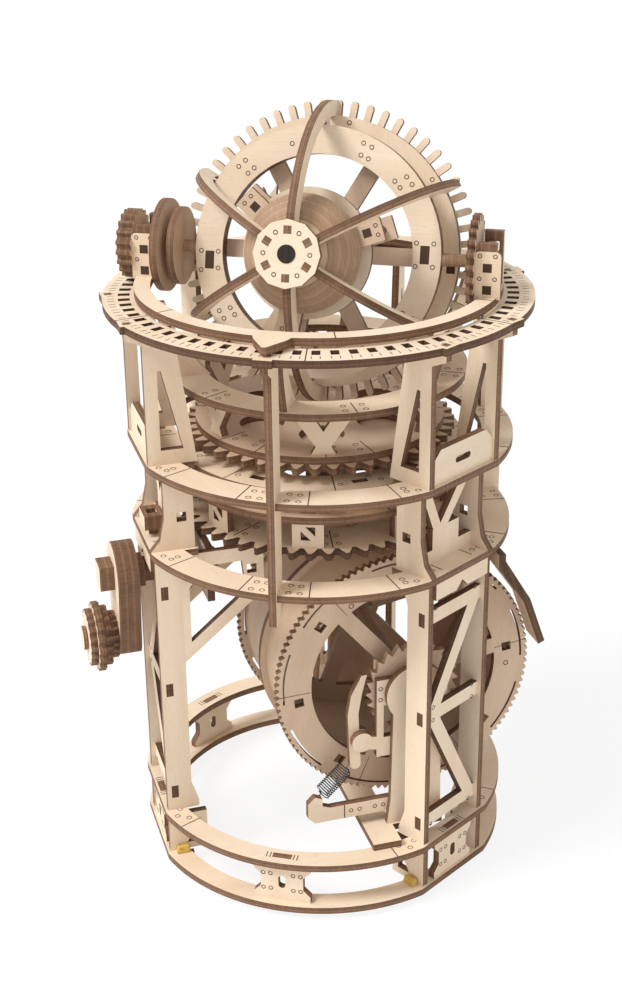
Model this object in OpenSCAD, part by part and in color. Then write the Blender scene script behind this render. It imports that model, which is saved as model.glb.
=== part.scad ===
// A table clock of laser-cut plywood. A three-sided open tower carries a slotted
// dial ring. A carriage with a pointer turns above the dial and holds a tilting
// wheel cage. A carousel turns between the decks, and a big winding drum with its
// crank, ratchet and coil spring fills the lower tower.
// The origin is on the table under the tower's axis, and the front post is at -Y.

/* [Plywood] */
// Thickness of one plywood layer
ply = 3; // [2.9:0.05:3.1]
// Radial room of a turning pin in its bore
pin_room = 0.05; // [0.03:0.01:0.08]
// Air between pieces that turn past each other
air = 0.4; // [0.3:0.05:0.5]

/* [Tower] */
// Outer radius of the tower's rings
tower_r = 78.6; // [78:0.2:80]
// Half of the angle that each straight side takes up
flat_half = 15; // [14.5:0.5:15.5]
// Inner radius of the two base rings
base_in_r = 69.4; // [68.6:0.2:69.8]
// Inner radius of the two decks
deck_in_r = 66; // [65:0.5:67]
// Distance of the decks' straight inner pads from the axis
pad_in_n = 57; // [55:0.5:57.5]
// Height that the feet lift the lowest ring
foot_h = 3; // [2:0.5:5]
// Clear height between the two base rings
base_gap = 18; // [16:1:22]
// Clear height from the base to the lower deck
lower_h = 120; // [119:0.5:124]
// Clear height between the two decks
upper_h = 35; // [34.5:0.5:38]
// Clear height from the upper deck to the dial ring
dial_h = 55; // [54.5:0.5:56]
// Width of a tenon that passes through a ring
tenon_w = 3.5; // [3:0.25:4]
// Distance of the outer tenons from the axis
tenon_n = 71.2; // [71:0.1:71.5]
// Distance of the inner tenons from the axis
inner_tenon_n = 62.5; // [61.5:0.25:63]

/* [Columns] */
// Distance of a column from the middle of its side
col_x = 17.5; // [17:0.25:17.75]
// Width of a lower column
col_w = 10.6; // [10:0.2:11]
// Setback of a lower column from the straight side
col_inset = 1.2; // [1:0.1:1.4]
// Width of an upper column
up_col_w = 12; // [11:0.5:12]
// Setback of an upper column from the straight side
up_col_inset = 5.9; // [5.5:0.1:6.2]
// Distance of a dial post from the middle of its side
post_x = 19.5; // [19:0.25:19.75]
// Width of a dial post at its foot
post_foot_w = 19.4; // [18:0.2:19.4]
// Width of a dial post at its head
post_head_w = 11.9; // [11:0.1:11.9]
// Radial depth of a middle post
mid_post_w = 9.6; // [9:0.2:10]

/* [Dial] */
// Outer radius of the dial ring
dial_r = 85; // [84.8:0.1:86]
// Width of the dial ring
dial_w = 12.8; // [12.6:0.1:13]
// Number of slots in the dial ring
dial_slots = 72; // [36:12:84]
// Inner end of a dial slot, from the ring's inner edge
slot_inset = 2; // [1.8:0.1:2.4]
// Length of a dial slot
slot_l = 4.6; // [4:0.1:4.8]
// Width of a dial slot
slot_w = 3.2; // [2.6:0.1:3.4]
// Height that the dial ring's edge stands out where a post holds it
bump_out = 1.5; // [1.2:0.1:1.8]

/* [Carriage] */
// Rise of the carriage ring and the carriage gear over the rings below them
ring_lift = 1; // [0.8:0.1:1.2]
// Outer radius of the upper carriage ring
upper_ring_r = 72.5; // [72.3:0.1:72.7]
// Inner radius of the upper carriage ring
upper_ring_in_r = 66; // [65.8:0.1:66.1]
// Reach of the pointer from the axis
pointer_r = 84; // [80:0.5:84.5]
// Outer radius of the lower carriage ring
lower_ring_r = 59.6; // [59:0.1:59.8]
// Inner radius of the lower carriage ring
lower_ring_in_r = 45.8; // [45.5:0.1:46]
// Height of the forked plates under the lower carriage ring
fork_h = 18; // [17.5:0.1:18.2]
// Outer radius of the carriage disc
disc_r = 50.5; // [49.5:0.1:51]
// Height of the cage's tilt axis over the dial ring
axis_rise = 14.5; // [14.3:0.1:14.8]
// Distance of the bearing plates from the axis
bearing_x = 66.4; // [66.2:0.1:66.6]
// Depth of a bearing plate
bearing_w = 16; // [15:0.5:16]

/* [Cage] */
// Tilt of the cage's front, upwards
cage_tilt = 15; // [0:1:25]
// Radius over the pegs of the peg wheel
peg_tip_r = 60; // [59.6:0.1:60]
// Length of a peg
peg_l = 6.4; // [6:0.1:6.6]
// Width of a peg
peg_w = 2.7; // [2.4:0.1:2.9]
// Number of pegs
pegs = 57; // [51:3:60]
// Distance of the peg wheel's front face behind the tilt axis
peg_back = 16.5; // [16.3:0.1:16.6]
// Outer radius of the gimbal ring
gimbal_r = 49; // [48.6:0.1:49]
// Width of the gimbal ring
gimbal_w = 11; // [10.5:0.1:11]
// Distance of the hub plate's rear face before the tilt axis
hub_f = 48.5; // [48.3:0.1:48.6]
// Radius of the hub plate
hub_r = 12.6; // [12.2:0.1:13]
// Radius of the tilt pins
tilt_pin_r = 2.5; // [2.3:0.1:2.7]
// Radius of the wheels on the tilt pins, inside the bearing plates
tilt_wheel_r = 18.4; // [17:0.1:18.4]
// Radius of the serrated wheel outside the left bearing plate
serrated_r = 13.7; // [12.5:0.1:13.7]

/* [Inner cage] */
// Radius of the inner axle
inner_axle_r = 3; // [2.8:0.1:3.2]
// Largest radius of the bell
bell_r = 22.5; // [21:0.5:23]
// Reach of the balance frame's arms
frame_reach = 34; // [33:0.5:34.5]
// Outer radius of the balance wheel
balance_r = 25; // [23:0.5:26]
// Outer radius of the escape wheel
escape_r = 11; // [10:0.25:11.25]

/* [Carousel and gears] */
// Radius of the fixed centre shaft
shaft_r = 6; // [5.5:0.1:6.5]
// Gear module: pitch circle diameter for each tooth
gear_module = 2.25; // [2.23:0.01:2.25]
// Teeth of the carriage gear
carriage_teeth = 47; // [47:1:47]
// Teeth of the carousel gear
carousel_teeth = 50; // [50:1:50]
// Teeth of the arbor's upper pinion
upper_pinion_teeth = 15; // [15:1:15]
// Gap left between the flanks of meshing teeth
backlash = 0.25; // [0.2:0.01:0.3]
// Outer radius of the carousel's middle ring
carousel_ring_r = 57; // [56:0.1:58]
// Outer radius of the carousel's top ring
carousel_plate_r = 58.6; // [57:0.1:58.8]
// Height of the frames between the carousel's gear and its middle ring
spacer_h = 11.7; // [11:0.1:12.5]
// Radius of the arbor that joins the two gears
arbor_r = 2; // [1.8:0.1:2.2]

/* [Drum] */
// Height that the drum's toothed end rings stand out from its shell
drum_flange = 3.8; // [3.6:0.1:4]
// Height of the drum's axis over the table
drum_z = 91; // [90.8:0.1:91.2]
// Sideways place of the drum's axis
drum_u = 22.3; // [22:0.1:22.6]
// Distance of the drum's front face from the tower's axis
drum_front_n = 43.9; // [43.5:0.1:44]
// Length of the drum over its end rings
drum_l = 64.9; // [60:0.5:66]
// Radial width of the drum's end rings
drum_ring_w = 15; // [14:0.5:17]
// Outer radius of the drum's shell
shell_r = 51.2; // [51:0.1:51.4]
// Radius of the drum's axle
axle_r = 3; // [2.8:0.1:3.2]
// Radius of the ratchet wheel
ratchet_r = 20; // [19:0.1:20]

/* [Winder] */
// Height of the crank shaft over the table
crank_z = 134; // [133.8:0.1:134.1]
// Width of the crank's square shaft
crank_sq = 10.4; // [10:0.1:10.4]
// Distance between the crank shaft and the knob
crank_throw = 28; // [26:0.5:30]
// Radius of the knob's largest disc
knob_r = 14.5; // [13:0.25:14.5]
// Radius of the knob's pin
knob_pin_r = 3; // [2.8:0.1:3.2]

/* [Pawl and spring] */
// Radius of the pawl's pin
pawl_pin_r = 1.5; // [1.3:0.1:1.7]
// Outer radius of the coil spring
coil_r = 3.7; // [3.4:0.1:3.8]
// Radius of the spring wire
wire_r = 0.25; // [0.22:0.01:0.26]
// Number of curls of the spring
coil_turns = 15; // [12:1:15]

/* [Hidden] */

$fn = 96;
// Overrun of every cut past the face it leaves
cut = 1;

// Heights of the tower's layers, each the underside of its plate
z_base1 = foot_h;
z_base2 = z_base1 + ply + base_gap;
z_floor = z_base2 + ply;
z_deck1 = z_floor + lower_h;
z_deck1_top = z_deck1 + ply;
z_deck2 = z_deck1_top + upper_h;
z_deck2_top = z_deck2 + ply;
z_dial = z_deck2_top + dial_h;
z_dial_top = z_dial + ply;

// Straight sides: their distance from the axis, half width and directions
flat_n = tower_r * cos(flat_half);
flat_w = 2 * tower_r * sin(flat_half);
flat_angles = [60, 180, 300];
arc_angles = [0, 120, 240];
left_flat = 300;

// Places of the lower columns, measured outwards from the tower's axis
col_out = flat_n - col_inset;
col_in = col_out - col_w;
col_flare = 3;
col_flare_h = 12;
col_head = 4;
foot_in = 58;
foot_taper = 2.5;
foot_window = 3;
truss_back = 1.9;
truss_n = col_out - truss_back - ply;
truss_side = col_x - ply / 2;
tab_h = 6;
truss_drop = 16;
truss_mid_h = 59;
truss_low_h = 9;
truss_top_z = z_deck1 - truss_drop;
truss_mid_z = z_floor + truss_mid_h;
truss_low_z = z_floor + truss_low_h;
truss_bar = 6;
apron_h = 7;

// Places of the upper columns and dial posts
up_col_out = flat_n - up_col_inset;
up_col_in = up_col_out - up_col_w;
up_foot_h = 14;
up_truss_n = up_col_out - 2 * ply;
up_hole = 4;
post_out = flat_n - 0.4 * col_inset;
post_leg = 5.2;
post_lug_h = 6;
head_tenon_w = 3;
head_tenon_n = dial_r - 1.5 * head_tenon_w;
dial_in_r = dial_r - dial_w;
slot_in_r = dial_in_r + slot_inset;
bump_w = 7;
mid_out = tower_r + col_inset;
mid_in = mid_out - mid_post_w;
mid_notch = mid_post_w / 2;
mid_tail = 10;
mid_head_r = head_tenon_n + 1.2 * head_tenon_w;
mid_head_in = min(mid_in, head_tenon_n - head_tenon_w);
panel_h = 14;
panel_n = 71.5;
panel_slot = 9;
panel_slot_h = 2.6;
panel_chamfer = 4.5;
socket_n = 71.5;
socket_stem = 3.6;
socket_w = 11;
socket_d = 8;

// Base connector plates
connector_r = 72;
connector_w = 24;
connector_tab = 8;
connector_slot = 3;

// Fixed bearings of the vertical axis
spider_hub_r = 11;
spider_arm_w = 9;
arbor_angle = 218;
pinion_sum = carriage_teeth + upper_pinion_teeth;
lower_pinion_teeth = pinion_sum - carousel_teeth;
arbor_dist = gear_module * pinion_sum / 2;
carousel_lift = 2;
z_carousel = z_deck1_top + ply + carousel_lift;
z_carousel_ring = z_carousel + ply + spacer_h;
z_carousel_top = z_deck2 - air - ply;
z_gear = z_deck2_top + ring_lift;
z_disc = z_gear + ply;
z_disc_top = z_disc + ply;
z_low_ring = z_disc_top + fork_h;
z_low_ring_top = z_low_ring + ply;
z_up_ring = z_dial_top + ring_lift;
z_up_ring_top = z_up_ring + ply;
shaft_top = z_disc_top + ply / 4;
washer_r = shaft_r + ply;
shaft_fit_r = shaft_r + pin_room;
spacer_w = 12.4;
spacer_r = 49.8;
spacer_angles = [for (k = [0:7]) 8 + 45 * k];
top_spacer_angles = [for (a = spacer_angles) a + 22.5];
carousel_ring_in_r = 44;
light_hole_r = 9;
light_hole_at = 27;
axis_z = z_dial_top + axis_rise;

// Cage, in its own frame: r from the wheel axis, f forwards along it
sweep_r = 63.3;
peg_root_r = peg_tip_r - peg_l;
peg_in_r = 44;
saw_cut = 0.2;
rim_r = peg_root_r;
rim_w = 7;
rim_in_r = rim_r - rim_w;
gimbal_in_r = gimbal_r - gimbal_w;
rib_r = peg_tip_r - air;
rib_w = 6;
rib_rise = hub_f + peg_back + ply / 2;
rib_start = 6;
rib_angles = [for (k = [0:5]) 30 + 60 * k];
hub_hole_r = 8.7;
tilt_wheel_x = bearing_x - 2 * ply;
serrated_x = bearing_x + 2 * ply + air;
pin_seat = 9;
pin_root_x = gimbal_r - pin_seat;
bridge_r = gimbal_r - gimbal_w / 2;
bridge_w = 7;
bridge_hub_r = 8;

// Inner cage
bell_front = 40.6;
bell_back = 27;
frame_f = 10;
frame_arm_w = 9;
frame_hub_r = 9;
frame_angles = [20, 140, 260];
frame_hole = 4;
second_frame_f = frame_f + 4 * ply;
second_frame_reach = 31.5;
pillar_r = 1.8;
pillar_at = 29;
balance_f = frame_f + 2 * ply;
balance_rim = 4.5;
balance_spoke = 3.5;
escape_at = 22;
escape_angle = frame_angles[1];
escape_gap = 1;
escape_f = frame_f - ply - escape_gap;
escape_pin_r = 1.4;

// Drum, in its own frame: u sideways, n outwards from the tower's axis
drum_turn = 30;
drum_r = shell_r + drum_flange;
drum_in_r = drum_r - drum_ring_w;
drum_teeth = 110;
drum_tooth_h = 1.3;
drum_square = 4;
drum_square_in = 5.6;
drum_square_at = shell_r - drum_square_in;
drum_slit_w = 0.9;
drum_slit_a = 26;
drum_hub_r = 10;
spoke_w = 7;
front_spokes = [130, 250, 10];
drum_back_n = drum_front_n - drum_l;
drum_mid_n = 13;
drum_mid_r = shell_r + 0.74 * drum_flange;
ratchet_n = 50.5;
ratchet_teeth = 24;
ratchet_depth = 2.6;
collar_r = 6;
support_n = ratchet_n + 2 * ply + air;
rear_support_n = drum_back_n - 3 * ply;
support_half = 11;
support_head_r = 13;
support_foot_h = 12;
axle_over = 2;
floor_w = 12;
floor_half = 72;
floor_cross_u = 34;
floor_cross_w = 4.4;

// Pawl, its bracket and the spring, in the drum's frame
pawl_u = 0;
pawl_z = 70;
pawl_tip_u = 2.9;
pawl_tip_z = 99.6;
pawl_mid_u = -3;
pawl_mid_z = 82;
pawl_tail_u = -2;
pawl_tail_z = 58;
pawl_w = 4.6;
pawl_boss_r = 4.4;
bracket_u = 6;
bracket_w = 11;
bracket_z = 62;
bracket_h = 36;
bracket_rim = 3;
hook_z = 38;
hook_u = -20.5;
hook_tip_z = 46;
hook_w = 6.5;
hook_root_u = 15;

// Winder, in the left side's frame
winder_reach_n = 30;
winder_block_w = 9;
winder_block_h = 20;
winder_bar = 6;
winder_foot_z = 98;
winder_bearing_n = 50;
winder_bearing_h = 24;
crank_round_n = flat_n + air;
crank_inner_n = 46;
crank_arm_n = crank_round_n + 1.2 * ply;
crank_arm_t = 3 * ply;
crank_end_n = 95;
crank_head_r = 13;
crank_foot_r = 9;
truss_boss_r = 9;
knob_n = crank_arm_n + crank_arm_t + air;
knob_z = crank_z - crank_throw;
knob_radius_shares = [0.68, 0.86, 1, 0.82];
knob_teeth = 18;
pin_head_r = 5;
pin_head_l = 1.5;

// Guard board over the drum's edge, in the drum's frame
guard_w = 12;
guard_n = drum_front_n + 0.6 * ply;
guard_top_u = drum_u + 0.68 * drum_r;
guard_end_u = drum_u + drum_r - 0.1 * ply;
guard_drop = 42.8;
guard_end_z = z_deck1 - guard_drop;
guard_bow = 1.5;

ply_color = "#e3c79c";
ply_dark = "#c9a878";
steel = "#8d9094";

// Frames and plates

// Copies the children to the three straight sides, with each side facing -Y
module at_flats(angles = flat_angles) {
    for (a = angles) rotate([0, 0, a]) children();
}

// Copies the children to the middles of the three round sides
module at_arcs() {
    for (a = arc_angles) rotate([0, 0, a]) children();
}

// Copies a plate to both ends of a straight side
module both_ends(x) {
    for (s = [-1, 1]) translate([s * x, 0, 0]) children();
}

// A plate on a radial plane: outline points are [distance outwards, height]
module radial_plate(points, t = ply) {
    rotate([90, 0, -90]) linear_extrude(height = t, center = true) polygon(points);
}

// A plate that faces outwards at distance n: outline points are [sideways, height]
module facing_plate(points, n, t = ply) {
    translate([0, -n, 0]) rotate([90, 0, 0]) linear_extrude(height = t) polygon(points);
}

// A round pin or bore along the outward direction, from distance n0 to n1
module facing_pin(r, n0, n1, x = 0, z = 0) {
    translate([x, -n0, z]) rotate([90, 0, 0]) cylinder(r = r, h = n1 - n0);
}

// A box on a facing plane, given by its middle, its sizes and its depth range
module facing_box(x, z, w, h, n0, n1) {
    translate([x - w / 2, -n1, z - h / 2]) cube([w, n1 - n0, h]);
}

// Corner points of a straight bar of width w between two points
function bar(a, b, w) = let (d = b - a, k = w / 2 / norm(d), s = [-d.y * k, d.x * k])
    [a - s, b - s, b + s, a + s];

function box_points(x0, z0, x1, z1) = [[x0, z0], [x1, z0], [x1, z1], [x0, z1]];

function polar(r, a) = [r * cos(a), r * sin(a)];

module ring(r_out, r_in, h = ply) {
    difference() {
        cylinder(r = r_out, h = h);
        translate([0, 0, -cut]) cylinder(r = r_in, h = h + 2 * cut);
    }
}

// Involute gear teeth

pressure = 25;
tip_share = 0.9;
root_share = 1.15;
flank_steps = 4;

function involute(a) = tan(a) * 180 / PI - a;

// Angle from a tooth's middle to its flank at radius r
function flank_angle(r, teeth) = let (
        pitch_r = gear_module * teeth / 2,
        base_r = pitch_r * cos(pressure),
        half = 90 / teeth - backlash / 2 / pitch_r * 180 / PI,
        at = r <= base_r ? 0 : acos(base_r / r))
    half + involute(pressure) - involute(at);

function flank_radius(i, teeth) = let (
        pitch_r = gear_module * teeth / 2,
        root_r = pitch_r - root_share * gear_module,
        tip_r = pitch_r + tip_share * gear_module,
        start_r = max(root_r, pitch_r * cos(pressure)))
    i < 0 ? root_r : start_r + (tip_r - start_r) * i / flank_steps;

function gear_points(teeth) = [
    for (t = [0:teeth - 1], s = [-1, 1], i = [0:flank_steps + 1])
        let (j = s < 0 ? i - 1 : flank_steps - i, r = flank_radius(j, teeth))
            polar(r, 360 * t / teeth + s * flank_angle(r, teeth))
];

module gear(teeth, h = ply) {
    linear_extrude(height = h) polygon(gear_points(teeth));
}

// Round pegs around a rim
function peg_points(root_r, tip_r, w, count) = [
    for (t = [0:count - 1], i = [0:6])
        let (a = 360 * t / count, y = w / 2,
             p = i == 0 ? [root_r, -y] : i == 6 ? [root_r, y]
                 : [tip_r - y + y * sin(45 * (i - 1)), -y * cos(45 * (i - 1))])
            [p.x * cos(a) - p.y * sin(a), p.x * sin(a) + p.y * cos(a)]
];

// Shallow teeth around a rim, four points to each
function serrated_points(r, depth, count) = [
    for (i = [0:4 * count - 1])
        polar(r - (i % 4 < 2 ? 0 : depth), 90 * (i - 0.5) / count)
];

// Saw teeth that lean one way
function ratchet_points(r, depth, count) = [
    for (t = [0:count - 1], i = [0:2])
        polar(i == 1 ? r : r - depth, 360 * (t + [0, 0.12, 0.9][i]) / count)
];

// Tower

module tower_ring(in_r) {
    difference() {
        ring(tower_r, in_r);
        at_flats() translate([-tower_r, -flat_n - tower_r, -cut]) cube([2 * tower_r, tower_r,
            ply + 2 * cut]);
    }
}

module deck(z) {
    translate([0, 0, z]) {
        tower_ring(deck_in_r);
        at_flats() translate([-flat_w / 2, -deck_in_r - ply, 0]) cube([flat_w,
            deck_in_r + ply - pad_in_n, ply]);
    }
}

// Through slots that match tenons at distance n, beside the middle of each side
module tenon_slots(z, n, x) {
    translate([0, 0, z]) at_flats() both_ends(x)
        facing_box(0, ply / 2, ply, ply + 2 * cut, n - tenon_w / 2, n + tenon_w / 2);
}

// Bore of the arbor through a deck
module arbor_bore(z) {
    rotate([0, 0, arbor_angle]) translate([0, -arbor_dist, z - cut])
        cylinder(r = arbor_r + pin_room, h = ply + 2 * cut);
}

module middle_slots(z) {
    translate([0, 0, z]) at_arcs()
        facing_box(0, ply / 2, ply, ply + 2 * cut, mid_in + mid_notch, mid_out + cut);
}

module connector_slots(z) {
    translate([0, 0, z]) for (a = [0:60:300]) rotate([0, 0, a])
        facing_box(0, ply / 2, connector_tab, ply + 2 * cut, connector_r, connector_r + ply);
}

module base_lower_ring() {
    color(ply_color) difference() {
        translate([0, 0, z_base1]) tower_ring(base_in_r);
        tenon_slots(z_base1, tenon_n, col_x);
        connector_slots(z_base1);
    }
}

module base_upper_ring() {
    color(ply_color) difference() {
        translate([0, 0, z_base2]) tower_ring(base_in_r);
        tenon_slots(z_base2, tenon_n, col_x);
        connector_slots(z_base2);
    }
}

// Upright plates that join the two base rings, each with an oval slot
module base_connector() {
    low = z_base1 + ply;
    middle = (low + z_base2) / 2;
    step = ply;
    difference() {
        union() {
            facing_plate([
                [-connector_w / 2, low], [connector_w / 2, low], [connector_w / 2, low + step],
                [connector_w / 2 - step, middle - step], [connector_w / 2 - step, middle + step],
                [connector_w / 2, z_base2 - step], [connector_w / 2, z_base2],
                [-connector_w / 2, z_base2], [-connector_w / 2, z_base2 - step],
                [-connector_w / 2 + step, middle + step], [-connector_w / 2 + step, middle - step],
                [-connector_w / 2, low + step]
            ], connector_r);
            facing_box(0, (z_base1 + z_floor) / 2, connector_tab, z_floor - z_base1,
                connector_r, connector_r + ply);
        }
        for (s = [-1, 1])
            facing_pin(connector_slot / 2, connector_r - cut, connector_r + ply + cut,
                0, middle + s * connector_slot / 2);
        facing_box(0, middle, connector_slot, connector_slot, connector_r - cut, connector_r + ply + cut);
    }
}

module base_connectors() {
    color(ply_color) for (a = [0:60:300]) rotate([0, 0, a]) base_connector();
}

module column_profile() {
    low = z_base1 + ply;
    radial_plate([
        [col_out, z_deck1], [col_out, z_floor], [col_in - col_flare, z_floor],
        [col_in - col_flare, z_floor + ply], [col_in, z_floor + col_flare_h],
        [col_in, z_deck1 - col_flare_h], [col_in - col_head, z_deck1]
    ]);
    radial_plate(box_points(foot_in, low, col_out, z_base2));
    radial_plate(box_points(tenon_n - tenon_w / 2, foot_h / 2, tenon_n + tenon_w / 2, z_deck1_top));
    radial_plate([
        [col_out, foot_h], [col_out - foot_taper, 0], [col_in + foot_taper, 0], [col_in, foot_h]
    ]);
}

// A lower column runs from its foot on the table up through the lower deck
module lower_column() {
    low = z_base1 + ply;
    difference() {
        column_profile();
        for (z = [truss_top_z, truss_mid_z, truss_low_z])
            facing_box(0, z, ply + 2 * cut, tab_h, truss_n, truss_n + ply);
        radial_plate([
            [foot_in + foot_window, low + foot_window], [col_in + foot_window, low + foot_window],
            [foot_in + foot_window, z_base2 - foot_window]
        ], ply + 2 * cut);
    }
}

module lower_columns() {
    color(ply_color) at_flats() both_ends(col_x) lower_column();
}

// Narrow boards under the straight edges of the lower deck
module deck_aprons() {
    notch = apron_h / 2;
    color(ply_color) at_flats() facing_plate([
        [-truss_side, z_deck1 - apron_h], [-notch, z_deck1 - apron_h], [0, z_deck1 - notch],
        [notch, z_deck1 - apron_h], [truss_side, z_deck1 - apron_h], [truss_side, z_deck1],
        [-truss_side, z_deck1]
    ], flat_n - ply);
}

// A braced panel between two lower columns, with tabs through their holes
module truss() {
    lean = truss_side - truss_bar / 2;
    top_left = [-truss_side, truss_top_z];
    top_right = [truss_side, truss_top_z];
    mid_left = [-truss_side, truss_mid_z];
    mid_right = [truss_side, truss_mid_z];
    low_left = [-truss_side, truss_low_z];
    low_right = [truss_side, truss_low_z];
    for (b = [[top_left, top_right], [mid_left, mid_right], [low_left, low_right]])
        facing_plate(bar(b[0], b[1], truss_bar), truss_n);
    facing_plate(bar([lean, truss_top_z], [-lean, truss_mid_z], truss_bar), truss_n);
    facing_plate(bar([-lean, truss_mid_z], [lean, truss_low_z], truss_bar), truss_n);
    for (z = [truss_top_z, truss_mid_z, truss_low_z])
        facing_box(0, z, 2 * (truss_side + ply), tab_h, truss_n, truss_n + ply);
}

module right_truss() {
    color(ply_color) at_flats([60]) truss();
}

module rear_truss() {
    color(ply_color) at_flats([180]) truss();
}

// The left panel has a round boss that bears the crank shaft
module left_truss() {
    color(ply_color) at_flats([left_flat]) difference() {
        union() {
            truss();
            facing_pin(truss_boss_r, truss_n, truss_n + ply, 0, crank_z);
        }
        facing_pin(crank_sq / 2 + pin_room, truss_n - cut, truss_n + ply + cut, 0, crank_z);
    }
}

module lower_deck() {
    color(ply_color) difference() {
        deck(z_deck1);
        tenon_slots(z_deck1, tenon_n, col_x);
        tenon_slots(z_deck1, inner_tenon_n, col_x);
        middle_slots(z_deck1);
        arbor_bore(z_deck1);
    }
}

module upper_column() {
    difference() {
        union() {
            radial_plate([
                [up_col_out, z_deck2], [up_col_out, z_deck1_top + up_foot_h],
                [up_col_out + up_col_inset / 3, z_deck1_top + up_foot_h / 3], [flat_n, z_deck1_top],
                [up_col_in, z_deck1_top], [up_col_in, z_deck2]
            ]);
            radial_plate(box_points(inner_tenon_n - tenon_w / 2, z_deck1,
                inner_tenon_n + tenon_w / 2, z_deck2_top));
        }
        for (z = [z_deck1_top + up_foot_h, z_deck2 - up_hole])
            facing_box(0, z, ply + 2 * cut, up_hole, up_col_in + ply, up_col_in + ply + up_hole);
    }
}

module upper_columns() {
    color(ply_color) at_flats() both_ends(col_x) upper_column();
}

// Forked braces between the upper columns
module upper_trusses() {
    foot = z_deck1_top + truss_bar / 2;
    knot = [-truss_side / 4, z_deck1_top + upper_h / 3];
    color(ply_color) at_flats() {
        facing_plate(bar([-truss_side, foot], [truss_side, foot], truss_bar), up_truss_n);
        facing_plate(box_points(-truss_side / 2, z_deck1_top, truss_side / 2, knot.y + ply), up_truss_n);
        facing_plate(bar(knot, [-truss_side + ply, z_deck2 - ply / 2], truss_bar - ply / 2), up_truss_n);
        facing_plate(bar(knot, [truss_side - ply, z_deck2 - ply / 2], truss_bar - ply / 2), up_truss_n);
    }
}

module upper_deck() {
    color(ply_color) difference() {
        deck(z_deck2);
        tenon_slots(z_deck2, tenon_n, post_x);
        tenon_slots(z_deck2, inner_tenon_n, col_x);
        middle_slots(z_deck2);
        arbor_bore(z_deck2);
    }
}

// A dial post: a straight outer leg, a leaning inner leg and a long window
module dial_post() {
    foot_n = post_out - post_foot_w;
    head_n = post_out - post_head_w;
    window_low = z_deck2_top + truss_bar;
    window_top = z_dial - 0.3 * dial_h;
    difference() {
        union() {
            radial_plate([
                [foot_n, z_deck2_top], [post_out, z_deck2_top], [post_out, z_dial - post_lug_h],
                [head_tenon_n + head_tenon_w / 2, z_dial - post_lug_h / 2],
                [head_tenon_n + head_tenon_w / 2, z_dial], [head_n, z_dial]
            ]);
            radial_plate(box_points(tenon_n - tenon_w / 2, z_deck2, tenon_n + tenon_w / 2,
                z_deck2_top + ply));
            radial_plate(box_points(head_tenon_n - head_tenon_w / 2, z_dial - ply / 2,
                head_tenon_n + head_tenon_w / 2, z_dial_top));
        }
        radial_plate([
            [foot_n + post_leg, window_low], [post_out - post_leg, window_low],
            [post_out - post_leg, window_top], [post_out - post_leg - ply / 2, window_top]
        ], ply + 2 * cut);
    }
}

module dial_posts() {
    color(ply_color) at_flats() both_ends(post_x) dial_post();
}

// Low panels on the upper deck between the dial posts, each with a flat slot, and a
// layered square socket on the left side of the lower deck
module post_panels() {
    half = post_x - ply / 2;
    top = z_deck2_top + panel_h;
    middle = z_deck2_top + panel_h / 2;
    slot_end = (panel_slot - panel_slot_h) / 2;
    color(ply_color) {
        at_flats() difference() {
            facing_plate([
                [-half, z_deck2_top], [half, z_deck2_top], [half, top - panel_chamfer],
                [half - panel_chamfer, top], [panel_chamfer - half, top], [-half, top - panel_chamfer]
            ], panel_n);
            facing_box(0, middle, 2 * slot_end, panel_slot_h, panel_n - cut, panel_n + ply + cut);
            for (s = [-1, 1])
                facing_pin(panel_slot_h / 2, panel_n - cut, panel_n + ply + cut, s * slot_end, middle);
        }
        at_flats([left_flat]) {
            facing_box(0, z_deck1_top + socket_stem / 2, socket_stem, socket_stem,
                socket_n - socket_stem / 2,
                socket_n + socket_stem / 2);
            difference() {
                facing_box(0, z_deck1_top + socket_stem + ply, socket_w, 2 * ply, socket_n - socket_d / 2,
                    socket_n + socket_d / 2);
                facing_box(0, z_deck1_top + socket_stem + 1.5 * ply, up_hole, ply + cut,
                    socket_n - up_hole / 2, socket_n + up_hole / 2);
            }
        }
    }
}

// A middle post hooks into the edges of both decks and carries the dial ring
module middle_post() {
    difference() {
        union() {
            radial_plate([
                [mid_in + mid_notch, z_deck1 - mid_tail], [mid_out, z_deck1 - mid_tail],
                [mid_out, z_dial - post_lug_h], [mid_head_r, z_dial - post_lug_h / 2],
                [mid_head_r, z_dial], [mid_head_in, z_dial], [mid_in, z_deck1]
            ]);
            radial_plate(box_points(head_tenon_n - head_tenon_w / 2, z_dial - ply / 2,
                head_tenon_n + head_tenon_w / 2, z_dial_top));
        }
        for (z = [z_deck1, z_deck2])
            facing_box(0, z + ply / 2, ply + 2 * cut, ply, mid_in - cut, mid_in + mid_notch);
    }
}

module middle_posts() {
    color(ply_color) at_arcs() middle_post();
}

module dial_ring() {
    color(ply_color) translate([0, 0, z_dial]) difference() {
        union() {
            ring(dial_r, dial_in_r);
            at_arcs() facing_box(0, ply / 2, bump_w, ply, slot_in_r, dial_r + bump_out);
            at_flats() both_ends(post_x)
                facing_box(0, ply / 2, bump_w, ply, slot_in_r,
                    head_tenon_n + head_tenon_w / 2 + bump_out);
        }
        for (k = [0:dial_slots - 1]) rotate([0, 0, 360 * (k + 0.5) / dial_slots])
            facing_box(0, ply / 2, slot_w, ply + 2 * cut, slot_in_r, slot_in_r + slot_l);
        at_arcs()
            facing_box(0, ply / 2, ply, ply + 2 * cut,
                head_tenon_n - head_tenon_w / 2, head_tenon_n + head_tenon_w / 2);
        at_flats() both_ends(post_x)
            facing_box(0, ply / 2, ply, ply + 2 * cut,
                head_tenon_n - head_tenon_w / 2, head_tenon_n + head_tenon_w / 2);
    }
}

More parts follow.
